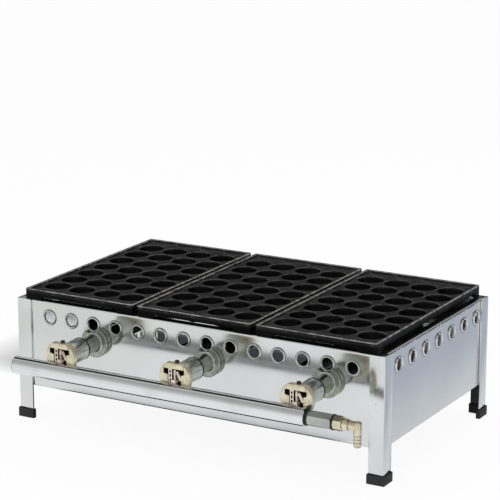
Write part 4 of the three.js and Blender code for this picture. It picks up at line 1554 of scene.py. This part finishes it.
@dataclass
class NozzleHead:
    """The cast head astride the gas pipe, with the nozzle and the lock screw in it."""

    start: float = 77.8
    lip_radius: float = 18.8
    bore: float = 11.0
    flange_radius: float = 26.0
    flange_back: float = 91.0
    face: float = 99.1
    front: float = 101.3
    half_width: float = 15.5
    top: float = 22.5
    bar_bottom: float = 14.6
    chamfer: float = 2.4
    pocket_depth: float = 14.0
    post_forward: float = 96.87
    screw_forward: float = 90.8
    pipe_forward: float = 101.8
    pipe_drop: float = 21.5
    pipe_radius: float = 13.6
    pocket_half: float = 11.5
    pocket_bottom: float = -16.0
    band_right: float = 16.6
    band_left: float = 18.4
    band_top: float = 14.0
    post_floor: float = -6.5
    post_radius: float = 3.8
    nut_flats: float = 10.0
    nut_height: float = 4.5
    arm_lean: float = 26.0
    arm_head: tuple[float, float, float] = (3.4, 0.4, 10.4)
    ladder_posts: tuple[float, ...] = (-9.9, -5.6)
    ladder_rungs: tuple[float, ...] = (-6.6, -0.4, 6.2, 12.2)
    screw_shank: float = 2.0
    screw_head: float = 3.4
    screw_rise: float = 2.4
    screw_bottom: float = 4.0
    reach: float = 60.0
    gap: float = 0.3

    def build(self, bay: str, place: Vector) -> None:
        """Makes the head, the nozzle and the screw of one bay.

        Args:
            bay: The bay's name.
            place: The tube's axis at the sheet's face.
        """
        there = Matrix.Translation(place)
        head = self.head().move(there)
        head.finish(f"cast_head_{bay}", BRASS, replaces=[f"nozzle_head_{bay}"], smooth_below=40.0)
        nozzle = self.nozzle().move(there)
        nozzle.finish(f"jet_post_{bay}", POST_BRASS, replaces=[f"gas_nozzle_{bay}"])
        screw = self.screw().move(there)
        screw.finish(f"slotted_screw_{bay}", BLACK_STEEL, replaces=[f"lock_screw_{bay}"])
        # A thin dark skin of painted shade lines the head's pocket.
        self.lining().move(there).finish(f"sooted_lining_{bay}", POCKET_SHADE)

    def pipe(self, extra: float) -> Workpiece:
        """A bar along the gas pipe, a little wider than it, as a cutter."""
        place = Along.RIGHT.matrix((0, -self.pipe_forward, -self.pipe_drop))
        return Workpiece().turn(disc(self.pipe_radius + extra, -40.0, 40.0), 96, place)

    def opening(self, spread: float, low: float, high: float) -> Workpiece:
        """The face's opening as a bar: a wide band under the top bar over a narrower lower part.

        Args:
            spread: How much wider than the opening the bar is, on each side.
            low: Where it starts, forward of the sheet's face.
            high: Where it ends.

        Returns:
            The bar.
        """
        half, right, left = self.pocket_half + spread, self.band_right + spread, self.band_left + spread
        outline = [
            (-half, self.pocket_bottom),
            (half, self.pocket_bottom),
            (half, 5.5),
            (right, 6.8 - spread),
            (right, self.band_top),
            (-left, self.band_top),
            (-left, 6.0 - spread),
            (-half, 4.4),
        ]
        placed = Along.FORWARD.matrix() @ Matrix.Translation((0, 0, low))
        return Workpiece().prism(outline, high - low, placed)

    def head(self) -> Workpiece:
        """A turned flange with a milled flat on top, its opening and the bar across it.

        Returns:
            The head, about the tube's axis.
        """
        start, outer, back, face = self.start, self.flange_radius, self.flange_back, self.face
        profile = [
            (0.0, start),
            (self.lip_radius - 0.5, start),
            (self.lip_radius, start + 0.5),
            (self.lip_radius, start + 3.4),
            (17.2, start + 4.2),
            (17.4, back - 5.5),
            (19.6, back - 2.8),
            (23.6, back - 0.7),
            (outer - 0.5, back),
            (outer, back + 0.6),
            (outer, back + 2.9),
            (outer - 0.8, back + 3.3),
            (outer - 0.8, back + 4.3),
            (outer, back + 4.7),
            (outer, face - 0.9),
            (outer - 0.9, face),
            (0.0, face),
        ]
        head = Workpiece().turn(profile, 120, Along.FORWARD.matrix())
        reach = self.reach
        head.cut(Workpiece().block((-reach, -face - 5, self.top), (reach, -back + 1.2, reach)))
        low = (-self.half_width, -self.front, self.bar_bottom)
        bar = Workpiece().block(low, (self.half_width, -back - 0.6, self.top + 0.05))
        bar.round_edges(self.chamfer, 1, 60.0, self.is_top_side)
        bar.round_edges(0.5, 2, 40.0)
        head.cut(self.opening(0.0, face - self.pocket_depth, face + 5))
        head.cut(Workpiece().turn(disc(self.bore, start - 5, face - 5), 64, Along.FORWARD.matrix()))
        head.cut(self.pipe(self.gap))
        head.round_edges(0.4, 2, 50.0)
        return head.add(bar)

    def is_top_side(self, edge: bmesh.types.BMEdge) -> bool:
        """Whether an edge of the bar runs forward along its top."""
        first, second = (v.co for v in edge.verts)
        return min(first.z, second.z) > self.top - 0.1 and abs(first.y - second.y) > 5

    def lining(self) -> Workpiece:
        """Painted shade in the head's pocket: a thin dark skin over its walls and floor.

        Returns:
            The skin.
        """
        low, high = self.face - self.pocket_depth + 0.1, self.face - 2.6
        skin = self.opening(-0.1, low, high)
        skin.cut(self.opening(-0.35, low + 0.4, high + 5))
        skin.cut(self.pipe(self.gap))
        return skin

    def nozzle(self) -> Workpiece:
        """A stem out of the pipe, a hexagon, a thin column, a slanted arm, a ladder and a jet.

        Returns:
            The nozzle, about the tube's axis.
        """
        floor, top = self.post_floor, self.post_floor + self.nut_height
        post = Workpiece().turn(disc(self.post_radius, -self.pipe_drop, floor), 32)
        post.cut(self.pipe(self.gap).move(Matrix.Translation((0, self.post_forward, 0))))
        nut = Workpiece().hexagon(self.nut_flats, floor, top)
        shoulder = [
            (0, floor - 1),
            (4.6, floor - 1),
            (6.2, floor + 0.8),
            (6.2, floor + 3.7),
            (4.6, floor + 5.5),
            (0, floor + 5.5),
        ]
        nut.cut(Workpiece().turn(shoulder, 48), True)
        post.add(nut)
        column = [(2.2, top), (2.2, 4.0), (2.6, 4.6), (2.6, 9.2), (2.1, 9.8), (2.1, 12.6)]
        post.turn([(0, top), *column, (0, 13.2)], 40)
        lean = Matrix.Rotation(math.radians(-self.arm_lean), 4, "Y")
        arm = [(0, -15.0), (2.3, -15.0), (2.7, -14.2), (2.7, -2.0), (2.0, 0.0), (0, 0.4)]
        post.turn(arm, 36, Matrix.Translation(self.arm_head) @ lean)
        for x in self.ladder_posts:
            post.block((x - 0.8, -0.9, -9.0), (x + 0.8, 1.1, 13.4))
        for z in self.ladder_rungs:
            post.block((-9.4, -0.8, z - 0.9), (-6.0, 0.9, z + 0.9))
        jet = [(0, 2), (3.0, 2), (3.0, 13.0), (1.6, 19), (0.7, 19), (0.7, 17), (0, 17)]
        post.turn(jet, 32, Along.INWARD.matrix())
        return post.move(Matrix.Translation((0, -self.post_forward, 0)))

    def screw(self) -> Workpiece:
        """A slotted cheese-head screw on the head's top.

        Returns:
            The screw.
        """
        seat, bottom = self.top + self.gap, self.top - self.screw_bottom
        profile = [
            (0, bottom),
            (self.screw_shank, bottom),
            (self.screw_shank, seat),
            (self.screw_head, seat),
            (self.screw_head, seat + self.screw_rise - 0.5),
            (self.screw_head - 0.5, seat + self.screw_rise),
            (0, seat + self.screw_rise),
        ]
        screw = Workpiece().turn(profile, 40)
        screw.cut(Workpiece().block((-5, -0.5, seat + 1.4), (5, 0.5, seat + 5)))
        return screw.move(Matrix.Translation((0, -self.screw_forward, 0)))


# Gas line


@dataclass
class GasLine:
    """The gas pipe along the front, its closed end and the hose fitting."""

    axis: tuple[float, float, float] = (0.0, -283.5, 122.5)
    radius: float = 13.6
    left: float = -252.0
    right: float = 246.4
    socket: tuple[float, float] = (251.2, 288.2)
    gasket: tuple[float, float] = (288.4, 290.8)
    union: tuple[float, float] = (291.0, 304.3)
    collar: tuple[float, float] = (304.6, 313.6)
    tail_x: float = 326.7
    tail_drop: float = 31.2
    barb_tops: tuple[float, ...] = (-14.2, -19.0, -24.4)
    tail_bore: float = 2.4
    tube_radius: float = 5.8
    arm_radius: float = 6.6
    socket_flats: float = 20.4
    union_flats: float = 20.0
    gasket_radius: float = 11.6
    pipe_bore: float = 10.8
    plug_radius: float = 10.5
    plug_length: float = 8.0
    inlet_bore: float = 5.0
    gap: float = 0.3

    def build(self) -> None:
        """Makes the pipe and every piece on it."""
        place = Along.RIGHT.matrix(self.axis)
        radius, left, right = self.radius, self.left, self.right
        tube = [
            (self.pipe_bore, left),
            (radius - 0.4, left),
            (radius, left + 0.4),
            (radius, right - 0.8),
            (radius - 0.8, right),
            (self.pipe_bore, right),
            (self.pipe_bore, left),
        ]
        pipe = Workpiece().turn(tube, 96, place)
        pipe.finish("front_pipe", CHROME, replaces=["gas_pipe"])
        dome = [
            (0, left - 4.0),
            (6.0, left - 3.85),
            (10.2, left - 3.1),
            (12.6, left - 1.9),
            (radius - 0.1, left - 0.9),
            (radius - 0.2, left - self.gap),
            (self.plug_radius, left - self.gap),
            (self.plug_radius, left + self.plug_length),
            (0, left + self.plug_length),
        ]
        cap = Workpiece().turn(dome, 96, place)
        cap.finish("domed_cap", CHROME, replaces=["gas_pipe_cap"])
        clip = self.clip(place, right + self.gap)
        clip.finish("seal_ring", BLACK_STEEL, replaces=["pipe_end_ring"])
        self.fittings(place)

    def clip(self, place: Matrix, start: float) -> Workpiece:
        """A sprung ring at the pipe's end with a small loop on top.

        Args:
            place: The turn and move that lay Z along the pipe.
            start: Where the ring starts along the pipe.

        Returns:
            The ring.
        """
        profile = [
            (self.inlet_bore, start),
            (11.2, start),
            (11.8, start + 0.6),
            (11.8, start + 1.4),
            (10.6, start + 1.8),
            (10.6, start + 2.6),
            (11.4, start + 3.0),
            (11.0, start + 4.2),
            (self.inlet_bore, start + 4.2),
            (self.inlet_bore, start),
        ]
        clip = Workpiece().turn(profile, 72, place)
        loop = Workpiece().block((start + 0.4, -2.4, 10.0), (start + 5.8, 2.4, 17.4))
        loop.round_edges(1.0, 3, 50.0)
        loop.cut(Workpiece().block((start + 1.8, -5.0, 13.2), (start + 4.4, 5.0, 15.9)))
        return clip.add(loop.move(Matrix.Translation(self.axis)))

    @staticmethod
    def nut(flats: float, ends: tuple[float, float], chamfer: float, bore: float) -> Workpiece:
        """A six-sided piece with turned chamfers and a bore, about Z.

        Args:
            flats: Its width across flats.
            ends: Where it starts and ends.
            chamfer: The chamfers' length.
            bore: The bore's radius.

        Returns:
            The piece.
        """
        low, high = ends
        corner = flats / 2 / math.cos(math.pi / 6)
        turned = [
            (0, low),
            (flats / 2 - 0.2, low),
            (corner + 0.2, low + chamfer),
            (corner + 0.2, high - chamfer),
            (flats / 2 - 0.2, high),
            (0, high),
        ]
        nut = Workpiece().hexagon(flats, low, high)
        nut.cut(Workpiece().turn(turned, 72), True)
        nut.cut(Workpiece().turn(disc(bore, low - 2, high + 2), 40))
        return nut

    def fittings(self, place: Matrix) -> None:
        """Makes the socket, the gasket, the union nut and the hose elbow.

        Args:
            place: The turn and move that lay Z along the pipe.
        """
        socket = self.nut(self.socket_flats, self.socket, 1.2, self.inlet_bore)
        socket.move(place).finish("hex_socket", SOCKET_ZINC, replaces=["inlet_socket"])
        washer = ring(self.inlet_bore, self.gasket_radius, *self.gasket)
        gasket = Workpiece().turn(washer, 64, place).round_edges(0.6, 3)
        gasket.finish("fibre_gasket", RUBBER, replaces=["inlet_gasket"])
        union = self.nut(self.union_flats, self.union, 1.8, self.tube_radius + self.gap)
        union.move(place).finish("union_hexagon", FITTING_BRASS, replaces=["union_nut"])
        self.hose_tail()

    def hose_tail(self) -> None:
        """Makes the elbow: a collar, an arm with a square corner and a barbed tail."""
        bore, tube, arm_radius = self.tail_bore, self.tube_radius, self.arm_radius
        start, end = self.collar
        spigot = self.union[0] + self.gap
        reach = self.tail_x
        arm = [
            (0, spigot),
            (tube, spigot),
            (tube, start),
            (7.9, start),
            (8.4, start + 0.5),
            (8.4, end - 1.0),
            (7.8, end - 0.2),
            (6.0, end),
            (6.0, end + 0.8),
            (arm_radius, end + 1.2),
            (arm_radius, reach - 0.6),
            (arm_radius - 0.6, reach),
            (0, reach),
        ]
        elbow = Workpiece().turn(arm, 64, Along.RIGHT.matrix())
        elbow.cut(Workpiece().turn(disc(bore, spigot - 2, reach), 24, Along.RIGHT.matrix()))
        drop = self.tail_drop
        tail = [(0, 6.4), (4.6, 6.4), (5.5, 5.7), (5.9, 4.6), (5.9, -12.6), (5.5, -12.9)]
        tail += [(5.3, -13.4), (5.5, -13.9)]
        for top in self.barb_tops:
            tail += [(5.7, top), (5.7, top - 2.6), (5.35, top - 3.6), (5.0, top - 4.2), (5.4, top - 4.6)]
        tail += [(5.4, -drop + 1.8), (4.4, -drop + 0.5), (3.2, -drop), (0, -drop)]
        body = Workpiece().turn(tail, 56, Matrix.Translation((reach, 0, 0)))
        body.cut(Workpiece().turn(disc(bore, -drop - 2, 0), 24, Matrix.Translation((reach, 0, 0))))
        elbow.add(body).move(Matrix.Translation(self.axis))
        elbow.finish("barbed_elbow", FITTING_BRASS, "hose_tail", ["hose_elbow"])


@dataclass
class BurnerRow:
    """The three bays' burners, tubes and heads."""

    pitch: float = 201.0
    offset: float = 27.0
    face: float = -181.7
    height: float = 144.0
    first_hole: float = -260.9
    hole_pitch: float = 40.6
    hole_height: float = 170.0

    def build(self) -> None:
        """Makes the row."""
        for i, bay in enumerate(BAYS):
            place = Vector(((i - 1) * self.pitch + self.offset, self.face, self.height))
            nearest = round((place.x - self.first_hole) / self.hole_pitch)
            hole_x = self.first_hole + nearest * self.hole_pitch - place.x
            BurnerTube().build(bay, place)
            MixingTube().build(bay, place, hole_x, self.hole_height - self.height)
            NozzleHead().build(bay, place)


# The photograph's setting


@dataclass(frozen=True)
class Patch:
    """A soft-edged rectangle of the floor: where each side starts to fade and where it has, in metres."""

    left: tuple[float, float]
    right: tuple[float, float]
    front: tuple[float, float]
    back: tuple[float, float]

    def mask(self, x: Field, y: Field) -> Field:
        """1 inside the rectangle and 0 outside it.

        Args:
            x: The floor's coordinate to the right.
            y: The floor's coordinate to the back.

        Returns:
            The mask.
        """
        across = x.between(*self.left) * (1.0 - x.between(*self.right))
        return across * y.between(*self.front) * (1.0 - y.between(*self.back))


@dataclass
class Studio:
    """A white room: pale floor, soft lamps and the camera at the photograph's angle."""

    focal_pixels: float = 2057.16
    azimuth: float = 29.569
    elevation: float = 14.303
    eye: tuple[float, float, float] = (1529.2, -2705.5, 1063.1)
    picture: float = 500.0
    sensor: float = 36.0
    floor_size: float = 60.0
    floor_drop: float = 0.0002
    floor_glow: float = 0.93
    white: Colour = (1.0, 1.0, 1.0)
    pale: Colour = (0.9, 0.9, 0.9)
    dark: Colour = (0.05, 0.05, 0.05)
    black: Colour = (0.02, 0.02, 0.02)
    shadow: Colour = (0.045, 0.045, 0.05)
    shade: Colour = (0.475, 0.515, 0.59)
    dim: Colour = (0.77, 0.80, 0.77)
    bright: Colour = (0.93, 0.945, 0.95)
    # Patches of painted shade under the cooker and before its front sheet, and of painted shadow behind it.
    beneath: Patch = Patch((-0.32, -0.30), (0.30, 0.32), (-0.188, -0.168), (0.168, 0.188))
    before_sheet: Patch = Patch((-0.30, -0.28), (0.20, 0.22), (-0.275, -0.255), (-0.175, -0.155))
    behind: Patch = Patch((-0.60, -0.38), (0.04, 0.21), (-0.02, 0.05), (0.31, 0.55))
    lamps: tuple[tuple[str, tuple[float, float, float], float, float], ...] = (
        ("key", (-1.3, -1.9, 1.9), 2.4, 8.0),
        ("fill", (1.9, -1.2, 1.5), 2.2, 6.0),
        ("top", (0.1, 0.7, 2.3), 2.2, 11.0),
    )
    lamp_aim: tuple[float, float, float] = (0.0, -0.05, 0.12)
    low_back: float = 0.08
    room_light: float = 0.78
    strip_depth: float = 0.97

    def build(self) -> None:
        """Sets the camera, the floor, the lamps and the world."""
        scene = bpy.context.scene
        scene.view_settings.view_transform = "Standard"
        self.add_camera(scene)
        self.add_floor()
        self.add_lamps()
        self.paint_world(scene)

    def add_camera(self, scene: bpy.types.Scene) -> None:
        """Puts the camera where the photograph was taken from.

        Args:
            scene: The scene that gets the camera.
        """
        azimuth, elevation = math.radians(self.azimuth), math.radians(self.elevation)
        back = Vector(
            (
                math.sin(azimuth) * math.cos(elevation),
                -math.cos(azimuth) * math.cos(elevation),
                math.sin(elevation),
            )
        )
        right = Vector((0, 0, 1)).cross(back).normalized()
        up = back.cross(right)
        data = bpy.data.cameras.new("photo_camera")
        data.sensor_width = self.sensor
        data.lens = self.sensor * self.focal_pixels / self.picture
        data.clip_start = 0.05
        data.clip_end = 200.0
        camera = bpy.data.objects.new("photo_camera", data)
        turn = Matrix((right, up, back)).transposed().to_4x4()
        camera.matrix_world = Matrix.Translation(Vector(self.eye) * MM) @ turn
        scene.collection.objects.link(camera)
        scene.camera = camera

    def add_floor(self) -> None:
        """Lays a floor that shows white, gives reflections and bounced light a painted shade under the cooker
        and just before its front sheet, and holds a painted shadow under and behind it.
        """
        bm = bmesh.new()
        bmesh.ops.create_grid(bm, x_segments=2, y_segments=2, size=self.floor_size / 2)
        mesh = bpy.data.meshes.new("studio_floor")
        bm.to_mesh(mesh)
        bm.free()
        material = bpy.data.materials.new("studio_floor")
        material.use_nodes = True
        palette = Palette(material.node_tree)
        x, y, _ = palette.axes()
        path = palette.node("ShaderNodeLightPath").outputs
        seen = Field(palette, path["Is Camera Ray"]).at_least(Field(palette, path["Is Glossy Ray"]))
        seen = seen.at_least(Field(palette, path["Is Transmission Ray"]))
        right_side = x.between(0.26, 0.50) * y.between(-0.55, -0.1)
        left_side = palette.mixed((1.0 - x.between(-0.75, -0.2)) * 0.9, self.bright, self.dim)
        aside = palette.mixed(right_side, left_side, self.shade)
        # Painted shade: reflections and bounced light see the floor dark under the cooker and just before its
        # front sheet.
        under = self.beneath.mask(x, y).at_least(self.before_sheet.mask(x, y))
        glossy = palette.mixed(under, aside, self.black)
        camera = Field(palette, path["Is Camera Ray"])
        # Painted shadow: the camera sees the floor dark under and behind the cooker.
        shadow = self.behind.mask(x, y)
        white = palette.mixed(camera, glossy, palette.mixed(shadow, self.white, self.shadow))
        hidden = (under * (1.0 - camera)).at_least(shadow * camera)
        diffuse = palette.node(
            "ShaderNodeBsdfDiffuse", {}, {"Color": palette.mixed(hidden, self.pale, self.dark)}
        )
        glow = palette.node("ShaderNodeEmission", {}, {"Color": white, "Strength": 1.0})
        shares = {0: seen * self.floor_glow, 1: diffuse.outputs[0], 2: glow.outputs[0]}
        blend = palette.node("ShaderNodeMixShader", {}, shares)
        palette.node("ShaderNodeOutputMaterial", {}, {"Surface": blend.outputs[0]})
        mesh.materials.append(material)
        floor = bpy.data.objects.new("studio_floor", mesh)
        floor.location.z = -self.floor_drop
        bpy.context.scene.collection.objects.link(floor)

    def add_lamps(self) -> None:
        """Hangs soft lamps round the object; the metal shows the room, not the lamps."""
        for name, place, size, power in self.lamps:
            data = bpy.data.lights.new(name, "AREA")
            data.shape = "DISK"
            data.size = size
            data.energy = power
            lamp = bpy.data.objects.new(name, data)
            lamp.location = place
            lamp.visible_glossy = False
            aim = Vector(self.lamp_aim) - Vector(place)
            lamp.rotation_euler = aim.to_track_quat("-Z", "Y").to_euler()
            bpy.context.scene.collection.objects.link(lamp)

    def paint_world(self, scene: bpy.types.Scene) -> None:
        """Sets a world that is white to the camera.

        The metal sees a room that is bright in front, dim low behind, and dark in a strip overhead.

        Args:
            scene: The scene that gets the world.
        """
        world = bpy.data.worlds.new("white_room")
        scene.world = world
        world.use_nodes = True
        palette = Palette(world.node_tree)
        way = palette.node("ShaderNodeTexCoord").outputs["Generated"]
        parts = palette.node("ShaderNodeSeparateXYZ", inputs={0: way}).outputs
        y, z = Field(palette, parts[1]), Field(palette, parts[2])
        ahead = 0.95 - z.between(0.0, 0.3) * 0.32 - z.between(0.3, 0.7) * 0.2
        behind = self.low_back + z.between(0.30, 0.62) * 0.8
        back = y.between(-0.12, 0.0)
        slope = y / z.at_least(0.05)
        strip = slope.between(0.0, 0.12) * (1.0 - slope.between(0.7, 1.0)) * z.between(0.35, 0.5)
        room = (ahead * (1.0 - back) + behind * back) * (1.0 - strip * self.strip_depth)
        path = palette.node("ShaderNodeLightPath").outputs
        camera = Field(palette, path["Is Camera Ray"])
        glossy = Field(palette, path["Is Glossy Ray"])
        strength = camera + (1.0 - camera) * (glossy * room + (1.0 - glossy) * self.room_light)
        background = palette.node("ShaderNodeBackground", {}, {"Color": self.white, "Strength": strength})
        palette.node("ShaderNodeOutputWorld", {}, {"Surface": background.outputs[0]})


# The whole object


def corners(box: tuple) -> list[list[float]]:
    """A box's two corners as plain lists."""
    return [list(corner) for corner in box]


def main() -> None:
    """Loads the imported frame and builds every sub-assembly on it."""
    logging.basicConfig(level=logging.INFO, format="%(name)s: %(message)s")
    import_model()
    Studio().build()
    CornerLegs().build()
    SheetBox().build()
    CupPan().build()
    BurnerRow().build()
    GasLine().build()
    bpy.context.view_layer.update()


if __name__ == "__main__":
    main()
